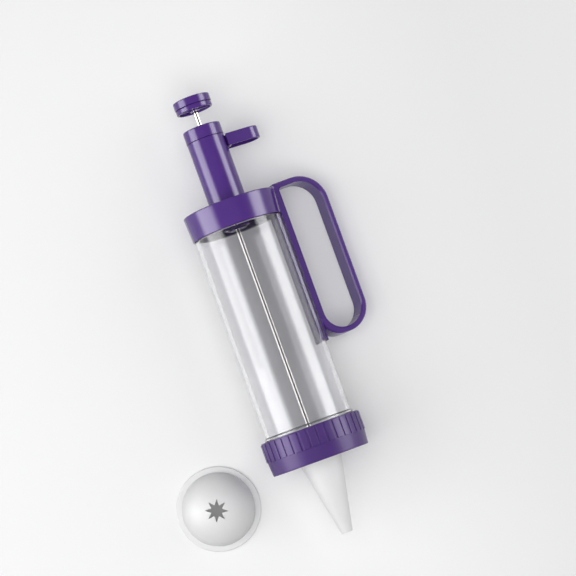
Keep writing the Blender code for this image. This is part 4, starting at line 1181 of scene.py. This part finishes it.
def add_lamps():
    """Strips that the surfaces mirror, strips that show through the barrel, and fills that light the rest.

    The inner strips stand behind the outer ones, because two lamps in one place would hide each other.
    """
    for side, zenith, height in STRIPS:
        strip = add_lamp("strip", side, zenith, STRIP_REACH, STRIP_WIDTH, height, STRIP_RADIANCE,
                         STRIP_SOFT_SHARE)
        strip.visible_diffuse = False
        strip.visible_transmission = False
        inner = add_lamp("inner_strip", side, zenith, INNER_REACH, INNER_WIDTH, height, INNER_RADIANCE,
                         INNER_SOFT_SHARE)
        inner.visible_diffuse = False
        inner.visible_glossy = False
    for side, zenith, reach, size, radiance in FILLS:
        fill = add_lamp("fill", side, zenith, reach, size, size, radiance)
        fill.visible_glossy = False
        fill.visible_transmission = False


def pale_mix(nodes, links):
    """Mix of two colours. The second is what the camera sees, straight, mirrored or through a clear part."""
    path = nodes.new("ShaderNodeLightPath")
    seen = path.outputs["Is Camera Ray"]
    for kind in ("Is Transmission Ray", "Is Glossy Ray"):
        either = nodes.new("ShaderNodeMath")
        either.operation = "MAXIMUM"
        links.new(seen, either.inputs[0])
        links.new(path.outputs[kind], either.inputs[1])
        seen = either.outputs["Value"]
    mix = nodes.new("ShaderNodeMix")
    mix.data_type = "RGBA"
    links.new(seen, mix.inputs[0])
    return mix


def add_world():
    """Dark overhead and paler round the horizon, as in a studio, and paler still where it is seen."""
    world = bpy.data.worlds.new("studio")
    bpy.context.scene.world = world
    world.use_nodes = True
    nodes, links = world.node_tree.nodes, world.node_tree.links
    place = nodes.new("ShaderNodeTexCoord")
    split = nodes.new("ShaderNodeSeparateXYZ")
    links.new(place.outputs["Generated"], split.inputs["Vector"])
    mix = pale_mix(nodes, links)
    tones = ((6, WORLD_LIGHT, WORLD_LIGHT_SHARES), (7, WORLD_SEEN, WORLD_SEEN_SHARES))
    for socket, (low_grey, high_grey), shares in tones:
        tone = two_tone(nodes, links, split.outputs["Z"], grey(low_grey), grey(high_grey), *shares)
        links.new(tone, mix.inputs[socket])
    links.new(mix.outputs[2], nodes["Background"].inputs["Color"])


def floor_glow(nodes, links, shader):
    """Faint glow of the floor where it is seen, stronger through the clear barrel."""
    glow = pale_mix(nodes, links)
    glow.inputs[6].default_value = (*grey(0), 1)
    place = nodes.new("ShaderNodeTexCoord")
    split = nodes.new("ShaderNodeSeparateXYZ")
    links.new(place.outputs["Object"], split.inputs["Vector"])
    tone = two_tone(nodes, links, split.outputs["X"], grey(GLOW[0]), grey(GLOW[1]), *GLOW_SPAN)
    links.new(tone, glow.inputs[7])
    links.new(glow.outputs[2], shader.inputs["Emission Color"])
    path = nodes.new("ShaderNodeLightPath")
    strength = nodes.new("ShaderNodeMath")
    strength.operation = "MULTIPLY_ADD"
    links.new(path.outputs["Is Transmission Ray"], strength.inputs[0])
    strength.inputs[1].default_value = GLOW_THROUGH_CLEAR
    strength.inputs[2].default_value = GLOW_STRENGTH
    links.new(strength.outputs["Value"], shader.inputs["Emission Strength"])


def add_floor():
    """Pale matt floor, wide enough for every view, and paler where it is seen."""
    bm = bmesh.new()
    corners = ((-1, -1), (1, -1), (1, 1), (-1, 1))
    bm.faces.new([bm.verts.new((FLOOR_HALF * x, FLOOR_HALF * y, -FLOOR_DROP)) for x, y in corners])
    floor = new_object(bm, "floor")
    mat, nodes, links = new_material("floor_paper")
    shader = nodes["Principled BSDF"]
    cloud = noise(nodes, links, FLOOR_CLOUD_SCALE)
    mix = pale_mix(nodes, links)
    links.new(two_tone(nodes, links, cloud, grey(FLOOR_LIGHT[0]), grey(FLOOR_LIGHT[1])), mix.inputs[6])
    mix.inputs[7].default_value = (*grey(FLOOR_SEEN), 1)
    links.new(mix.outputs[2], shader.inputs["Base Color"])
    shader.inputs["Roughness"].default_value = FLOOR_ROUGHNESS
    shader.inputs["Specular IOR Level"].default_value = FLOOR_SPECULAR
    floor_glow(nodes, links, shader)
    floor.data.materials.append(mat)


def add_outer_pieces():
    dress(barrel_shell(), CLEAR_WALL, "barrel", "clear_plastic", "barrel")
    dress(screw_ring(), SATIN_PURPLE, "screw_ring", "satin_purple", "screw_ring")
    dress(cone_tip(), WHITE_PLASTIC, "round_tip", "white_plastic", "round_tip")
    dress(dome_tip(), WHITE_PLASTIC, "star_tip", "white_plastic", "star_tip", place=star_place())
    dress(handle_moulding(), GLOSS_PURPLE, "handle", "gloss_purple", "handle_body")
    dress(cap_band(), GLOSS_PURPLE, "handle", "gloss_purple", "tower_cap")
    dress(lever_pad(), GLOSS_PURPLE, "thumb_lever", "gloss_purple", "thumb_lever")
    dress(knob_skirt(), GLOSS_PURPLE, "plunger", "gloss_purple", "knob_body")
    dress(knob_top(), GLOSS_PURPLE, "plunger", "gloss_purple", "knob_cover")
    dress(rod_bar(), ROD_STEEL, "plunger", "bright_steel", "plunger_rod")


def add_inner_pieces():
    rubber = flat_ring("guide_rubber", ROD_HOLE_RADIUS, GRIP_RADIUS, GRIP_LOW, GRIP_THICK, FULL)
    dress(rubber, GRIP_RUBBER, "rod_grip", "dark_rubber", "rod_grip_ring")
    dress(snap_retainer(), GLOSS_PURPLE, "handle", "gloss_purple", "grip_retainer")
    seat_radius = SPRING_RADIUS + SPRING_WIRE / 2 + SEAT_WASHER_MARGIN
    seat = flat_ring("seat_washer", ROD_HOLE_RADIUS, seat_radius, SEAT_WASHER_LOW, SEAT_WASHER_THICK)
    dress(seat, PLAIN_STEEL, "handle", "steel", "spring_washer")
    spring = dress(coil_spring(), PLAIN_STEEL, "handle", "steel", "return_spring")
    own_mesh(spring)
    dress(clutch_plate(), PLAIN_STEEL, "thumb_lever", "steel", "drive_plate")
    dress(hex_nut("top_nut", KNOB_NUT_LOW), PLAIN_STEEL, "plunger", "steel", "knob_nut")
    dress(piston_plate(), WHITE_PLASTIC, "plunger", "white_plastic", "piston_disc")
    dress(lip_seal(), SEAL_RUBBER, "plunger", "soft_rubber", "piston_seal")
    washer = flat_ring("end_washer", ROD_HOLE_RADIUS, WASHER_RADIUS, PISTON_WASHER_LOW, WASHER_THICK)
    dress(washer, PLAIN_STEEL, "plunger", "steel", "piston_washer")
    dress(hex_nut("end_nut", PISTON_NUT_LOW), PLAIN_STEEL, "plunger", "steel", "piston_nut")
    dress(hex_nut("lock_nut", LOCK_NUT_LOW), PLAIN_STEEL, "plunger", "steel", "piston_lock_nut")


def main():
    add_camera()
    add_lamps()
    add_world()
    add_floor()
    add_outer_pieces()
    add_inner_pieces()

    bpy.context.scene.view_settings.view_transform = "Standard"
    bpy.context.view_layer.update()


main()
